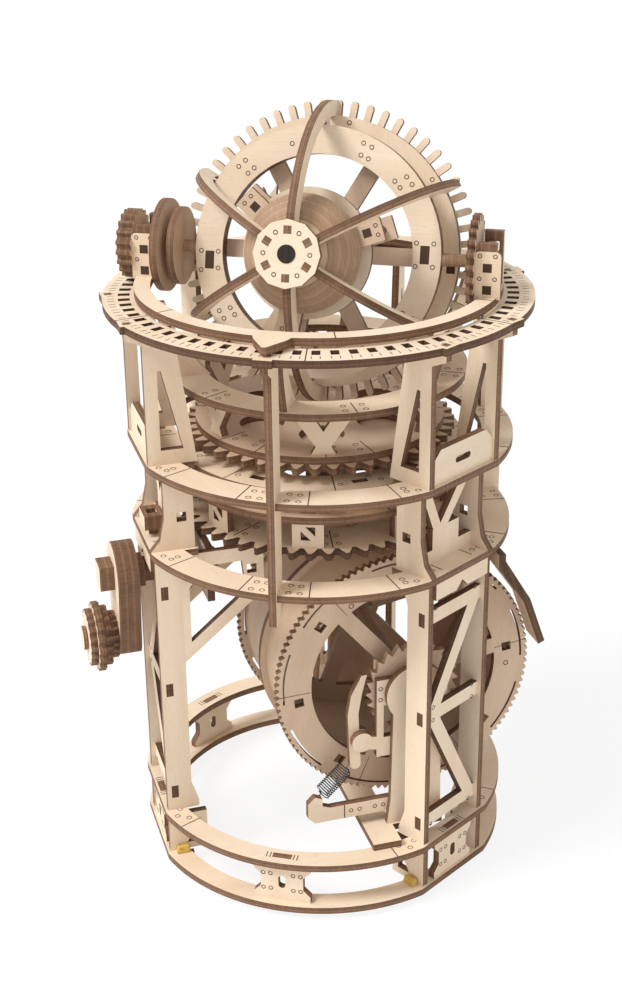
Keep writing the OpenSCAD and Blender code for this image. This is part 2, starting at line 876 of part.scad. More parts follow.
// A three-armed plate that holds the centre shaft
module spider(z, reach) {
    translate([0, 0, z]) difference() {
        union() {
            cylinder(r = spider_hub_r, h = ply);
            at_flats() facing_box(0, ply / 2, spider_arm_w, ply, 0, reach);
        }
        translate([0, 0, -cut]) cylinder(r = shaft_r, h = ply + 2 * cut);
    }
}

// Lies on the lower deck's pads
module lower_spider() {
    color(ply_dark) spider(z_deck1_top, inner_tenon_n);
}

// Lies level with the upper deck, between its pads
module upper_spider() {
    color(ply_dark) spider(z_deck2, pad_in_n);
}

module centre_shaft() {
    color(ply_dark) translate([0, 0, z_deck1_top]) cylinder(r = shaft_r, h = shaft_top - z_deck1_top);
}

// Washers that carry the carousel and the carriage on the two spiders
module thrust_washers() {
    color(ply_dark) {
        translate([0, 0, z_deck1_top + ply])
            ring(washer_r, shaft_r, z_carousel - pin_room - z_deck1_top - ply);
        translate([0, 0, z_deck2_top]) ring(washer_r, shaft_r, z_gear - pin_room - z_deck2_top);
    }
}

// Carousel

module carousel_gear() {
    color(ply_color) translate([0, 0, z_carousel]) difference() {
        rotate([0, 0, arbor_angle - 90]) gear(carousel_teeth);
        translate([0, 0, -cut]) cylinder(r = shaft_fit_r, h = ply + 2 * cut);
        for (a = [0:60:300]) rotate([0, 0, a]) translate([light_hole_at, 0, -cut])
            cylinder(r = light_hole_r, h = ply + 2 * cut);
    }
}

// Square frames with a slanted bar hold the middle ring over the gear, and plain ones the top ring
module carousel_spacers() {
    low = z_carousel + ply;
    rim = ply;
    half = spacer_h / 2;
    middle = low + half;
    color(ply_color) {
        for (a = spacer_angles) rotate([0, 0, a]) difference() {
            facing_plate(box_points(-spacer_w / 2, low, spacer_w / 2, z_carousel_ring), spacer_r);
            for (s = [-1, 1]) translate([0, cut, 0]) facing_plate([
                [s * (half - rim), middle + s * (half - rim)],
                [s * (half - rim), middle - s * (half - 1.6 * rim)],
                [-s * (half - 1.6 * rim), middle + s * (half - rim)]
            ], spacer_r, ply + 2 * cut);
        }
        for (a = top_spacer_angles) rotate([0, 0, a]) facing_plate(
            box_points(-spacer_w / 2, z_carousel_ring + ply, spacer_w / 2, z_carousel_top), spacer_r);
    }
}

// A ring of the carousel with its tenon slots
module slotted_ring(r, angles) {
    difference() {
        ring(r, carousel_ring_in_r);
        for (a = angles) rotate([0, 0, a])
            facing_box(0, ply / 2, spacer_w / 2, ply + 2 * cut, spacer_r, spacer_r + ply);
    }
}

module carousel_ring() {
    color(ply_color) translate([0, 0, z_carousel_ring]) slotted_ring(carousel_ring_r, spacer_angles);
}

module carousel_plate() {
    color(ply_color) translate([0, 0, z_carousel_top]) slotted_ring(carousel_plate_r, top_spacer_angles);
}

// The arbor stands in both decks and joins the carousel gear to the carriage gear
module arbor() {
    color(ply_dark) {
        rotate([0, 0, arbor_angle]) translate([0, -arbor_dist, z_deck1])
            cylinder(r = arbor_r, h = z_gear + ply - air - z_deck1);
        translate([0, 0, z_carousel]) pinion(lower_pinion_teeth);
        translate([0, 0, z_gear]) pinion(upper_pinion_teeth);
    }
}

module pinion(teeth) {
    rotate([0, 0, arbor_angle]) translate([0, -arbor_dist, 0])
        rotate([0, 0, 90 + 180 / teeth]) gear(teeth, ply - air);
}

// Carriage

module carriage_gear() {
    color(ply_dark) translate([0, 0, z_gear]) difference() {
        rotate([0, 0, arbor_angle - 90]) gear(carriage_teeth);
        translate([0, 0, -cut]) cylinder(r = shaft_fit_r, h = ply + 2 * cut);
    }
}

module carriage_disc() {
    color(ply_color) translate([0, 0, z_disc]) difference() {
        cylinder(r = disc_r, h = ply);
        translate([0, 0, -cut]) cylinder(r = shaft_fit_r, h = ply + 2 * cut);
        for (a = [45:60:345]) rotate([0, 0, a]) translate([light_hole_at, 0, -cut])
            cylinder(r = light_hole_r, h = ply + 2 * cut);
    }
}

// Forked plates that carry the lower carriage ring over the disc
module carriage_forks() {
    foot = ply;
    spread = 11;
    crotch = z_disc_top + 0.35 * fork_h;
    fork_n = lower_ring_in_r - 0.3 * ply;
    color(ply_color) for (a = [15:60:315]) rotate([0, 0, a]) facing_plate([
        [-1.6 * foot, z_disc_top], [1.6 * foot, z_disc_top], [foot, crotch - foot],
        [spread, z_low_ring - foot], [spread, z_low_ring], [spread - 1.8 * foot, z_low_ring],
        [0, crotch + foot], [1.8 * foot - spread, z_low_ring], [-spread, z_low_ring],
        [-spread, z_low_ring - foot], [-foot, crotch - foot]
    ], fork_n);
}

module carriage_lower_ring() {
    color(ply_color) translate([0, 0, z_low_ring]) ring(lower_ring_r, lower_ring_in_r);
}

// Curved plates that follow the sweep of the cage up to the upper ring
module carriage_brackets() {
    low = axis_z - z_low_ring_top;
    high = axis_z - z_up_ring;
    inner = [for (i = [0:8]) let (d = low + (high - low) * i / 8) [sqrt(sweep_r ^ 2 - d ^ 2),
        axis_z - d]];
    outer = [
        [upper_ring_r - 2.4 * air, z_up_ring], [upper_ring_r - 2.4 * air, z_up_ring - ply / 6],
        [upper_ring_in_r - ply / 4, z_dial], [lower_ring_r + ply, z_low_ring_top + dial_h / 4],
        [lower_ring_r - ply / 2, z_low_ring_top]
    ];
    color(ply_color) for (a = [0:60:300]) rotate([0, 0, a]) radial_plate(concat(inner, outer));
}

module carriage_upper_ring() {
    root = 2 * ply;
    color(ply_color) translate([0, 0, z_up_ring]) {
        ring(upper_ring_r, upper_ring_in_r);
        difference() {
            linear_extrude(height = ply) polygon([
                [-1.5 * root, -upper_ring_in_r - ply / 3], [-root, -upper_ring_r - ply],
                [-ply / 4, -pointer_r], [ply / 4, -pointer_r], [root, -upper_ring_r - ply],
                [1.5 * root, -upper_ring_in_r - ply / 3]
            ]);
            translate([0, 0, -cut]) cylinder(r = upper_ring_r - ply, h = ply + 2 * cut);
        }
    }
}

// A bearing plate between two narrow upright plates
module upright() {
    lift = axis_z + bearing_w / 2 + 0.7 * ply;
    side_w = 7.4;
    hole = 4;
    difference() {
        translate([bearing_x, 0, 0]) {
            translate([0, -bearing_w / 2, z_up_ring_top])
                cube([ply, bearing_w, axis_z - z_up_ring_top]);
            translate([0, 0, axis_z]) rotate([0, 90, 0]) cylinder(r = bearing_w / 2, h = ply);
        }
        translate([bearing_x - cut, 0, axis_z]) rotate([0, 90, 0])
            cylinder(r = tilt_pin_r + pin_room, h = ply + 2 * cut);
    }
    for (s = [-1, 1]) difference() {
        translate([bearing_x + (ply - side_w) / 2, s * (bearing_w + ply) / 2 - ply / 2, z_up_ring_top])
            cube([side_w, ply, lift - z_up_ring_top]);
        for (z = [z_up_ring_top + 2 * hole, lift - 2 * hole])
            translate([bearing_x + (ply - hole) / 2, s * (bearing_w + ply) / 2 - ply, z])
                cube([hole, 2 * ply, hole]);
    }
}

module left_upright() {
    color(ply_color) mirror([1, 0, 0]) upright();
}

module right_upright() {
    color(ply_color) upright();
}

// Cage: its wheel axis points forwards and up by the tilt

module in_cage() {
    translate([0, 0, axis_z]) rotate([-cage_tilt, 0, 0]) children();
}

// A flat piece of the cage, drawn in the plane across its wheel axis, from f0 to f0 + h
module across(f0) {
    translate([0, -f0, 0]) rotate([90, 0, 0]) children();
}

// The peg wheel is six arcs that lie on the rim ring, end to end with a saw cut between them
module peg_wheel() {
    color(ply_color) in_cage() across(-peg_back - ply) difference() {
        linear_extrude(height = ply) polygon(peg_points(peg_root_r, peg_tip_r, peg_w, pegs));
        translate([0, 0, -cut]) cylinder(r = peg_in_r, h = ply + 2 * cut);
        for (k = [0:5]) rotate([0, 0, 360 / pegs * (floor(k * pegs / 6) + 0.5)])
            translate([peg_in_r - cut, -saw_cut / 2, -cut])
                cube([peg_root_r - peg_in_r + 2 * cut, saw_cut, ply + 2 * cut]);
    }
}

module rim_ring() {
    color(ply_dark) in_cage() across(-peg_back) ring(rim_r, rim_in_r);
}

module gimbal_ring() {
    color(ply_color) in_cage() difference() {
        across(-ply) ring(gimbal_r, gimbal_in_r, 2 * ply);
        for (s = [0, 180]) rotate([0, s, 0]) translate([pin_root_x, 0, 0]) rotate([0, 90, 0])
            cylinder(r = tilt_pin_r, h = gimbal_r);
    }
}

// A curved rib from the hub plate out to the rim of the peg wheel
module cage_rib() {
    outer = [for (i = [0:10]) let (u = asin((hub_hole_r + 2 * ply) / rib_r) * (1 - i / 10) + 90 * i / 10)
        [rib_r * sin(u), min(hub_f, -peg_back + rib_rise * cos(u))]];
    inner = [for (i = [0:10]) let (u = 90 * (1 - i / 10) + asin(rib_start / (rib_r - rib_w)) * i / 10)
        [(rib_r - rib_w) * sin(u), -peg_back + (rib_rise - 1.3 * rib_w) * cos(u)]];
    difference() {
        union() {
            radial_plate(concat([[rib_start, hub_f]], outer, inner));
            radial_plate(box_points(hub_hole_r - ply / 2, hub_f - ply, hub_hole_r + ply / 2,
                hub_f + ply));
            radial_plate(box_points(gimbal_r - ply, -ply, rib_r - rib_w, ply));
        }
        translate([0, 0, -ply - cut]) cylinder(r = gimbal_r, h = 2 * (ply + cut));
    }
}

// Ribs stand across the wheel axis at even angles
module cage_ribs() {
    color(ply_dark) in_cage() for (a = rib_angles)
        across(0) rotate([0, 0, a + 90]) cage_rib();
}

module hub_plate() {
    color(ply_color) in_cage() across(hub_f) difference() {
        cylinder(r = hub_r, h = ply, $fn = 12);
        translate([0, 0, -cut]) cylinder(r = inner_axle_r + pin_room, h = ply + 2 * cut);
        for (a = rib_angles) rotate([0, 0, a])
            translate([hub_hole_r - ply / 2, -ply / 2, -cut]) cube([ply, ply, ply + 2 * cut]);
    }
}

module rear_bridge() {
    color(ply_dark) in_cage() across(-2 * ply) difference() {
        union() {
            cylinder(r = bridge_hub_r, h = ply);
            for (a = [0:60:300]) rotate([0, 0, a])
                translate([bridge_hub_r / 2, -bridge_w / 2, 0])
                    cube([bridge_r - bridge_hub_r / 2, bridge_w, ply]);
        }
        translate([0, 0, -cut]) cylinder(r = inner_axle_r + pin_room, h = ply + 2 * cut);
    }
}

module tilt_pins() {
    right_end = bearing_x + 1.6 * ply;
    left_end = serrated_x + 2 * ply;
    color(ply_dark) in_cage() {
        translate([pin_root_x, 0, 0]) rotate([0, 90, 0]) cylinder(r = tilt_pin_r,
            h = right_end - pin_root_x);
        translate([-left_end, 0, 0]) rotate([0, 90, 0]) cylinder(r = tilt_pin_r,
            h = left_end - pin_root_x);
    }
}

// Round discs on the left pin and a toothed wheel on the right pin
module tilt_wheels() {
    color(ply_dark) in_cage() {
        difference() {
            translate([tilt_wheel_x, 0, 0]) rotate([0, 90, 0])
                linear_extrude(height = ply)
                    polygon(peg_points(tilt_wheel_r - ply, tilt_wheel_r, 0.9 * peg_w, 22));
            translate([tilt_wheel_x - cut, 0, 0]) rotate([0, 90, 0])
                cylinder(r = tilt_pin_r, h = ply + 2 * cut);
        }
        difference() {
            union() {
                translate([-tilt_wheel_x - ply, 0, 0]) rotate([0, 90, 0])
                    cylinder(r = tilt_wheel_r, h = ply);
                translate([-tilt_wheel_x, 0, 0]) rotate([0, 90, 0]) cylinder(r = 2 * tilt_pin_r, h = ply);
                translate([-tilt_wheel_x + ply, 0, 0]) rotate([0, 90, 0])
                    cylinder(r = tilt_wheel_r - ply, h = ply);
            }
            translate([-tilt_wheel_x - ply - cut, 0, 0]) rotate([0, 90, 0])
                cylinder(r = tilt_pin_r, h = 3 * ply + 2 * cut);
        }
    }
}

module serrated_wheel() {
    color(ply_dark) in_cage() translate([-serrated_x - 2 * ply, 0, 0]) rotate([0, 90, 0]) difference() {
        linear_extrude(height = 2 * ply) polygon(serrated_points(serrated_r, ply / 2, 20));
        translate([0, 0, -cut]) cylinder(r = tilt_pin_r, h = 2 * ply + 2 * cut);
    }
}

// Inner cage: an axle with a bell behind the hub and a frame for the balance

module inner_axle() {
    color(ply_dark) in_cage() across(0) {
        translate([0, 0, -3 * ply]) cylinder(r = inner_axle_r, h = hub_f + 3.5 * ply);
        rotate_extrude() polygon([
            [inner_axle_r / 2, bell_front], [0.36 * bell_r, bell_front], [0.55 * bell_r,
                bell_front - ply / 3],
            [0.76 * bell_r, bell_front - 1.3 * ply], [0.93 * bell_r, bell_front - 2.8 * ply],
            [bell_r, bell_back], [bell_r - ply, bell_back], [0.76 * bell_r, bell_front - 3 * ply],
            [0.5 * bell_r, bell_front - 1.4 * ply], [inner_axle_r / 2, bell_front - ply]
        ]);
    }
}

module frame_plate(reach, f0) {
    across(f0) difference() {
        union() {
            cylinder(r = frame_hub_r, h = ply);
            for (a = frame_angles) rotate([0, 0, a])
                translate([0, -frame_arm_w / 2, 0]) cube([reach, frame_arm_w, ply]);
        }
        translate([0, 0, -cut]) cylinder(r = inner_axle_r, h = ply + 2 * cut);
        for (a = frame_angles) rotate([0, 0, a]) {
            translate([pillar_at, 0, -cut]) cylinder(r = pillar_r, h = ply + 2 * cut);
            translate([frame_hub_r + ply / 2, -frame_hole / 2, -cut])
                cube([frame_hole, frame_hole, ply + 2 * cut]);
        }
    }
}

// Two three-armed plates with pillars between them
module balance_frame() {
    color(ply_color) in_cage() {
        difference() {
            frame_plate(frame_reach, frame_f);
            across(frame_f - cut) rotate([0, 0, escape_angle]) translate([escape_at, 0, 0])
                cylinder(r = escape_pin_r + pin_room, h = ply + 2 * cut);
        }
        frame_plate(second_frame_reach, second_frame_f);
        across(frame_f) for (a = frame_angles) rotate([0, 0, a]) translate([pillar_at, 0, 0])
            cylinder(r = pillar_r, h = second_frame_f - frame_f + ply);
    }
}

module balance_wheel() {
    color(ply_dark) in_cage() across(balance_f) difference() {
        union() {
            ring(balance_r, balance_r - balance_rim);
            cylinder(r = 2 * inner_axle_r, h = ply);
            for (a = [60:120:300]) rotate([0, 0, a])
                translate([0, -balance_spoke / 2, 0]) cube([balance_r - balance_rim / 2,
                    balance_spoke, ply]);
        }
        translate([0, 0, -cut]) cylinder(r = inner_axle_r + pin_room, h = ply + 2 * cut);
    }
}

// The escape wheel has leaning teeth and turns in the balance frame
module escape_wheel() {
    color(ply_color) in_cage() across(escape_f) rotate([0, 0, escape_angle])
        translate([escape_at, 0, 0]) {
        linear_extrude(height = ply) polygon(ratchet_points(escape_r, 0.4 * escape_r, 12));
        cylinder(r = escape_pin_r, h = frame_f - escape_f + ply);
    }
}

// Drum and its supports, in the drum's turned frame

module in_drum() {
    rotate([0, 0, drum_turn]) children();
}

module at_drum() {
    in_drum() translate([drum_u, 0, drum_z]) children();
}

// A drum end ring with shallow teeth, square holes, slits and spokes
module drum_end(n, spokes) {
    translate([0, -n, 0]) rotate([90, 0, 0]) difference() {
        union() {
            difference() {
                linear_extrude(height = ply) polygon(serrated_points(drum_r, drum_tooth_h, drum_teeth));
                translate([0, 0, -cut]) cylinder(r = drum_in_r, h = ply + 2 * cut);
            }
            cylinder(r = drum_hub_r, h = ply);
            for (a = spokes) rotate([0, 0, a])
                translate([drum_hub_r / 2, -spoke_w / 2, 0])
                    cube([drum_in_r + ply - drum_hub_r / 2, spoke_w, ply]);
        }
        translate([0, 0, -cut]) cylinder(r = axle_r, h = ply + 2 * cut);
        for (a = [0:40:320]) rotate([0, 0, a]) translate([0, 0, -cut]) rotate_extrude(angle = drum_slit_a)
            translate([shell_r + air / 2, 0]) square([drum_slit_w, ply + 2 * cut]);
        for (a = [7:45:322]) rotate([0, 0, a])
            translate([drum_square_at - drum_square / 2, -drum_square / 2, -cut])
                cube([drum_square, drum_square, ply + 2 * cut]);
    }
}

// The drum: two end rings, a shell and a middle flange
module drum() {
    color(ply_color) at_drum() {
        drum_end(drum_front_n - ply, front_spokes);
        drum_end(drum_back_n, [for (a = [10:60:310]) a]);
        translate([0, -drum_back_n - ply, 0]) rotate([90, 0, 0]) ring(shell_r, shell_r - ply,
            drum_l - 2 * ply);
        translate([0, -drum_mid_n, 0]) rotate([90, 0, 0]) ring(drum_mid_r, shell_r - ply / 2);
    }
}

// The axle with its collar and the ratchet wheel
module drum_shaft() {
    front = support_n + ply + axle_over;
    back = rear_support_n - axle_over;
    color(ply_dark) at_drum() {
        facing_pin(axle_r, back, front);
        facing_pin(collar_r, drum_front_n, ratchet_n);
        translate([0, -ratchet_n, 0]) rotate([90, 0, 0]) linear_extrude(height = ply)
            polygon(ratchet_points(ratchet_r, ratchet_depth, ratchet_teeth));
        facing_pin(collar_r, rear_support_n + ply + air, drum_back_n);
    }
}

// A flat frame that lies on the upper base ring and carries both supports
module floor_frame() {
    color(ply_color) in_drum() translate([0, 0, z_floor]) {
        translate([0, -floor_half, 0]) cube([floor_w, 2 * floor_half, ply]);
        for (n = [support_n, rear_support_n]) translate([0, -n - (ply + floor_cross_w) / 2, 0])
            cube([floor_cross_u, floor_cross_w, ply]);
    }
}

// An upright plate with a round head that bears the drum's axle
module drum_support(n) {
    low = z_floor + ply;
    difference() {
        union() {
            facing_plate([
                [drum_u - support_half - ply / 2, low], [drum_u + support_half, low],
                [drum_u + support_half, low + support_foot_h], [drum_u + support_head_r - ply, drum_z],
                [drum_u - support_head_r + ply, drum_z], [drum_u - support_half, low + support_foot_h]
            ], n);
            facing_pin(support_head_r, n, n + ply, drum_u, drum_z);
        }
        facing_pin(axle_r + pin_room, n - cut, n + ply + cut, drum_u, drum_z);
    }
}

module drum_front_support() {
    color(ply_dark) in_drum() drum_support(support_n);
}

module drum_rear_support() {
    color(ply_dark) in_drum() drum_support(rear_support_n);
}

// A framed bracket on the front support, which carries the pawl's pin
module pawl_bracket() {
    n = support_n - ply;
    color(ply_color) in_drum() {
        difference() {
            union() {
                facing_plate(box_points(bracket_u, bracket_z, bracket_u + bracket_w,
                    bracket_z + bracket_h), n);
                facing_plate(bar([pawl_u, pawl_z], [bracket_u + ply, bracket_z + 2 * ply], 2 * ply), n);
                facing_pin(pawl_boss_r, n, n + ply, pawl_u, pawl_z);
            }
            translate([0, cut, 0]) facing_plate(box_points(bracket_u + bracket_rim,
                bracket_z + 3 * bracket_rim,
                bracket_u + bracket_w - bracket_rim, bracket_z + bracket_h - 4 * bracket_rim), n,
                    ply + 2 * cut);
        }
        facing_pin(pawl_pin_r, ratchet_n - air, n, pawl_u, pawl_z);
    }
}

// A fixed arm with an upturned hook that holds the far end of the spring
module hook_arm() {
    n = support_n - ply;
    low = hook_z - hook_w / 2;
    color(ply_color) in_drum() facing_plate([
        [hook_root_u, low], [hook_root_u, low + hook_w], [hook_u + hook_w, low + hook_w],
        [hook_u + hook_w / 2, low + 1.2 * hook_w], [hook_u + hook_w / 2, hook_tip_z],
        [hook_u, hook_tip_z + ply / 2], [hook_u - ply, hook_tip_z - ply / 2], [hook_u - ply, low + ply],
        [hook_u, low]
    ], n);
}

// The pawl rests just clear of the ratchet's teeth, and its tail holds the spring
module pawl() {
    tail = [pawl_tail_u, pawl_tail_z];
    middle = [pawl_mid_u, pawl_mid_z];
    tip = [pawl_tip_u, pawl_tip_z];
    knee = [(pawl_mid_u + pawl_tip_u) / 2 - ply / 2, (pawl_mid_z + pawl_tip_z) / 2];
    w = pawl_w / 2;
    side = [w, 0];
    color(ply_color) in_drum() difference() {
        union() {
            facing_plate([
                tail - side, tail + side, middle + side, knee + side, tip, tip - side,
                    knee - side, middle - side
            ], ratchet_n);
            facing_pin(w, ratchet_n, ratchet_n + ply, pawl_tail_u, pawl_tail_z);
            facing_pin(pawl_boss_r, ratchet_n, ratchet_n + ply, pawl_u, pawl_z);
        }
        facing_pin(pawl_pin_r + pin_room, ratchet_n - cut, ratchet_n + ply + cut, pawl_u, pawl_z);
    }
}

// Coil spring: one tube whose centre line winds about the line from pawl to hook

spring_n = ratchet_n + ply / 2;
spring_a = [pawl_tail_u - pawl_w / 2 - air / 2, pawl_tail_z - ply / 4];
spring_b = [hook_u + (hook_w - air) / 2, hook_tip_z - ply / 2];
spring_l = norm(spring_b - spring_a);
spring_dir = (spring_b - spring_a) / spring_l;
lead_l = 1.6;
coil_l = spring_l - 2 * lead_l;
curl_rings = 8;
tube_sides = 6;
coil_centre_r = coil_r - wire_r;
coil_count = coil_turns * curl_rings;

// Radius grows from the axis to the full coil over the first and last half curls
function coil_radius(i) = let (ramp = curl_rings / 2, e = min(i, coil_count - i) / ramp)
    coil_centre_r * min(1, e);

// Centre line in the frame [along the axis, across, across]
function coil_point(i) = i < 0 ? [0, 0, 0]
    : i > coil_count ? [spring_l, 0, 0]
    : let (a = 360 * i / curl_rings, r = coil_radius(i))
        [lead_l + coil_l * i / coil_count, r * cos(a), r * sin(a)];

coil_line = [for (i = [-1:coil_count + 1]) coil_point(i)];
coil_last = len(coil_line) - 1;

function unit(v) = v / norm(v);

coil_dirs = [for (i = [0:coil_last]) unit(coil_line[min(i + 1, coil_last)] - coil_line[max(i - 1, 0)])];

// A side direction for each station, carried along the wire without twist
coil_sides = [for (i = 0, s = [0, 0, 1]; i <= coil_last; i = i + 1,
    s = i > coil_last ? s : unit(s - (s * coil_dirs[i]) * coil_dirs[i])) s];

// Ring of points around the tube at station i, square to the centre line
function tube_ring(i) = let (side = coil_sides[i], up = cross(side, coil_dirs[i]))
    [for (k = [0:tube_sides - 1]) coil_line[i] + wire_r * (cos(60 * k) * side + sin(60 * k) * up)];

// Least gap between neighbouring curls, measured on the centre line's points
spring_gap = min([for (i = [1 + curl_rings / 2:coil_last - 1 - 1.5 * curl_rings])
    norm(coil_line[i + curl_rings] - coil_line[i]) - 2 * wire_r]);
echo(least_spring_gap = spring_gap);

module coil_spring() {
    points = [for (i = [0:coil_last]) each tube_ring(i)];
    walls = [for (i = [0:coil_last - 1], k = [0:tube_sides - 1])
        let (a = tube_sides * i + k, b = tube_sides * i + (k + 1) % tube_sides)
            each [[a, b, a + tube_sides], [b, b + tube_sides, a + tube_sides]]];
    first_cap = [for (k = [1:tube_sides - 2]) [0, k + 1, k]];
    last_cap = [for (k = [1:tube_sides - 2])
        [tube_sides * coil_last, tube_sides * coil_last + k, tube_sides * coil_last + k + 1]];
    color(steel) in_drum() translate([spring_a.x, -spring_n, spring_a.y])
        rotate([0, -atan2(spring_dir.y, spring_dir.x), 0])
            polyhedron(points, concat(walls, first_cap, last_cap));
}

// Winder on the left side

// Open brackets from the left columns inwards under the lower deck
module winder_brackets() {
    top = z_deck1;
    block = winder_reach_n + winder_block_w;
    color(ply_dark) at_flats([left_flat]) both_ends(col_x) {
        difference() {
            radial_plate([
                [col_in - col_head, top], [winder_reach_n, top], [winder_reach_n, top - winder_block_h],
                [winder_reach_n + ply, top - winder_block_h - ply], [col_in, winder_foot_z],
                [col_in, top - col_flare_h]
            ]);
            radial_plate([
                [col_in - winder_bar / 2, top - col_flare_h - ply], [col_in - col_flare_h,
                    top - winder_bar],
                [block, top - winder_bar], [block - ply / 2, top - winder_block_h],
                [col_in - winder_bar / 2, winder_foot_z + 1.5 * winder_bar]
            ], ply + 2 * cut);
            facing_box(0, top - winder_block_h / 2, ply + 2 * cut, up_hole,
                winder_reach_n + ply, winder_reach_n + ply + up_hole);
        }
    }
}

module winder_bearing() {
    color(ply_dark) at_flats([left_flat]) difference() {
        facing_plate(box_points(-truss_side, z_deck1 - winder_bearing_h, truss_side, z_deck1),
            winder_bearing_n);
        facing_pin(crank_sq / 2 + pin_room, winder_bearing_n - cut, winder_bearing_n + ply + cut,
            0, crank_z);
    }
}

// The crank: a shaft that is square outside, a layered arm and the knob's pin
module crank() {
    knob_end = knob_n + 4 * ply + air;
    w = crank_sq / 2;
    color(ply_dark) at_flats([left_flat]) {
        facing_pin(w, crank_inner_n, crank_round_n, 0, crank_z);
        facing_box(0, crank_z, crank_sq, crank_sq, crank_round_n, crank_end_n);
        facing_pin(crank_head_r, crank_arm_n, crank_arm_n + crank_arm_t, 0, crank_z);
        facing_pin(crank_foot_r, crank_arm_n, crank_arm_n + crank_arm_t, 0, knob_z);
        facing_plate([
            [-crank_head_r, crank_z], [-crank_foot_r, knob_z], [crank_foot_r, knob_z],
                [crank_head_r, crank_z]
        ], crank_arm_n, crank_arm_t);
        facing_pin(knob_pin_r, crank_arm_n, knob_end, 0, knob_z);
        facing_pin(pin_head_r, knob_end, knob_end + pin_head_l, 0, knob_z);
    }
}

// The knob is a stack of four serrated discs
module knob() {
    color(ply_dark) at_flats([left_flat]) difference() {
        for (k = [0:3]) translate([0, -knob_n - k * ply, knob_z]) rotate([90, 0, 0])
            linear_extrude(height = ply)
                polygon(serrated_points(knob_r * knob_radius_shares[k], ply / 2, knob_teeth));
        facing_pin(knob_pin_r + pin_room, knob_n - cut, knob_n + 4 * ply + cut, 0, knob_z);
    }
}

// A bowed board that hangs from the lower deck and leans out past the drum's edge
module guard_board() {
    neck_z = z_deck1 - ply;
    top = [guard_top_u, neck_z];
    end = [guard_end_u, guard_end_z];
    d = end - top;
    side = ply * [-d.y, d.x] / norm(d);
    middle = (top + end) / 2 + guard_bow * side / ply;
    color(ply_dark) in_drum() facing_plate([
        [top.x - ply, z_deck1], [top.x - ply, neck_z - ply], middle - side / 2, end - side / 2,
        end + side / 2, middle + side / 2, [top.x, neck_z], [top.x, z_deck1]
    ], guard_n, guard_w);
}

base_lower_ring();
base_upper_ring();
base_connectors();
lower_columns();
deck_aprons();
right_truss();
rear_truss();
left_truss();
lower_deck();
upper_columns();
upper_trusses();
upper_deck();
dial_posts();
post_panels();
middle_posts();
dial_ring();
lower_spider();
upper_spider();
centre_shaft();
thrust_washers();
floor_frame();
drum_front_support();
drum_rear_support();
pawl_bracket();
hook_arm();
coil_spring();
winder_brackets();
winder_bearing();
guard_board();
carousel_gear();
carousel_spacers();
carousel_ring();
carousel_plate();
arbor();
carriage_gear();
carriage_disc();
carriage_forks();
carriage_lower_ring();
carriage_brackets();
carriage_upper_ring();
left_upright();
right_upright();
peg_wheel();
rim_ring();
gimbal_ring();
cage_ribs();
hub_plate();
rear_bridge();
tilt_pins();
tilt_wheels();
serrated_wheel();
inner_axle();
balance_frame();
balance_wheel();
escape_wheel();
drum();
drum_shaft();
crank();
knob();
pawl();
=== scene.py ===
import bpy
import bmesh
import math
import numpy as np
from mathutils import Vector, Matrix


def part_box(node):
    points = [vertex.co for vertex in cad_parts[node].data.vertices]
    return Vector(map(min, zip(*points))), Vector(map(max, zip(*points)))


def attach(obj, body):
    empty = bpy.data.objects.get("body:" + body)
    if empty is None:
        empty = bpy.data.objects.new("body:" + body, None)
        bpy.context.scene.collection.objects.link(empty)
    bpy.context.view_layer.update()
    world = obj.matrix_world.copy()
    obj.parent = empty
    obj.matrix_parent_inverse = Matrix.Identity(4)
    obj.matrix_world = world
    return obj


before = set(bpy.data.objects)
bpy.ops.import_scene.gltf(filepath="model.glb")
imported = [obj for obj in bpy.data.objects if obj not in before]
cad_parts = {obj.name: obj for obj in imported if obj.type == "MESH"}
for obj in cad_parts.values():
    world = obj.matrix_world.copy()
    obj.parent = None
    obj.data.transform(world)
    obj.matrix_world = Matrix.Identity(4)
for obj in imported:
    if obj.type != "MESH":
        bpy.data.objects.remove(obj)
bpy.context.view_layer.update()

# The clock's sizes in millimetres; angles go round the tower from the front, in degrees
PLY = 3
DECK_LOW, DECK_HIGH, DIAL = 150, 188, 246
FLAT_SIDES = (60, 180, 300)
ROUND_SIDES = (0, 120, 240)
DECK_IN, TOWER_R = 66, 78.6
FLAT_IN, FLAT_OUT = 58, 73.2
BASE_JOINT_R, BASE_JOINT_W = 74, 9.2
CONNECTOR_OUT, CONNECTOR_TAB_R = 75, 73.6
DIAL_IN, DIAL_OUT, DIAL_TICK_R = 72.2, 85, 81.6
TRUSS_MARK_X = 12.4
UPRIGHT_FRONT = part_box("right_upright")[0].y * 1000 - 0.15
UPRIGHT_X = sum(c.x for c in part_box("right_upright")) * 500
UP = (0, 0, 1)

# The cage leans back, and each of its boards has a front at its own distance along the axis
AXIS_Z, CAGE_LEAN = 260.5, math.radians(15)
HUB_FRONT, GIMBAL_FRONT, RIM_FRONT = 51.5, 3, -13.5
GIMBAL_R = 43.3
HUB_MARK_R = 8.7

# The drum stands turned in the tower
DRUM_TURN = math.radians(30)
DRUM_U, DRUM_Z, DRUM_FRONT = 22.3, 91, 43.9
SUPPORT_FRONT = 56.9

# Radii of the burnt marks, and widths and heights of the burnt lines
MARK, SMALL_MARK, HUB_MARK, TINY_MARK = 1.15, 0.95, 0.9, 0.85
JOINT_WIDE, TAB_WIDE, TICK_WIDE, DRUM_LINE_WIDE = 0.4, 0.35, 0.26, 0.24
LINE_HIGH, TENON_HIGH, DRUM_LINE_HIGH = 0.14, 0.12, 0.1
MARK_HIGH, BORE_HIGH = 0.16, 0.3


# Camera at the photograph's angle

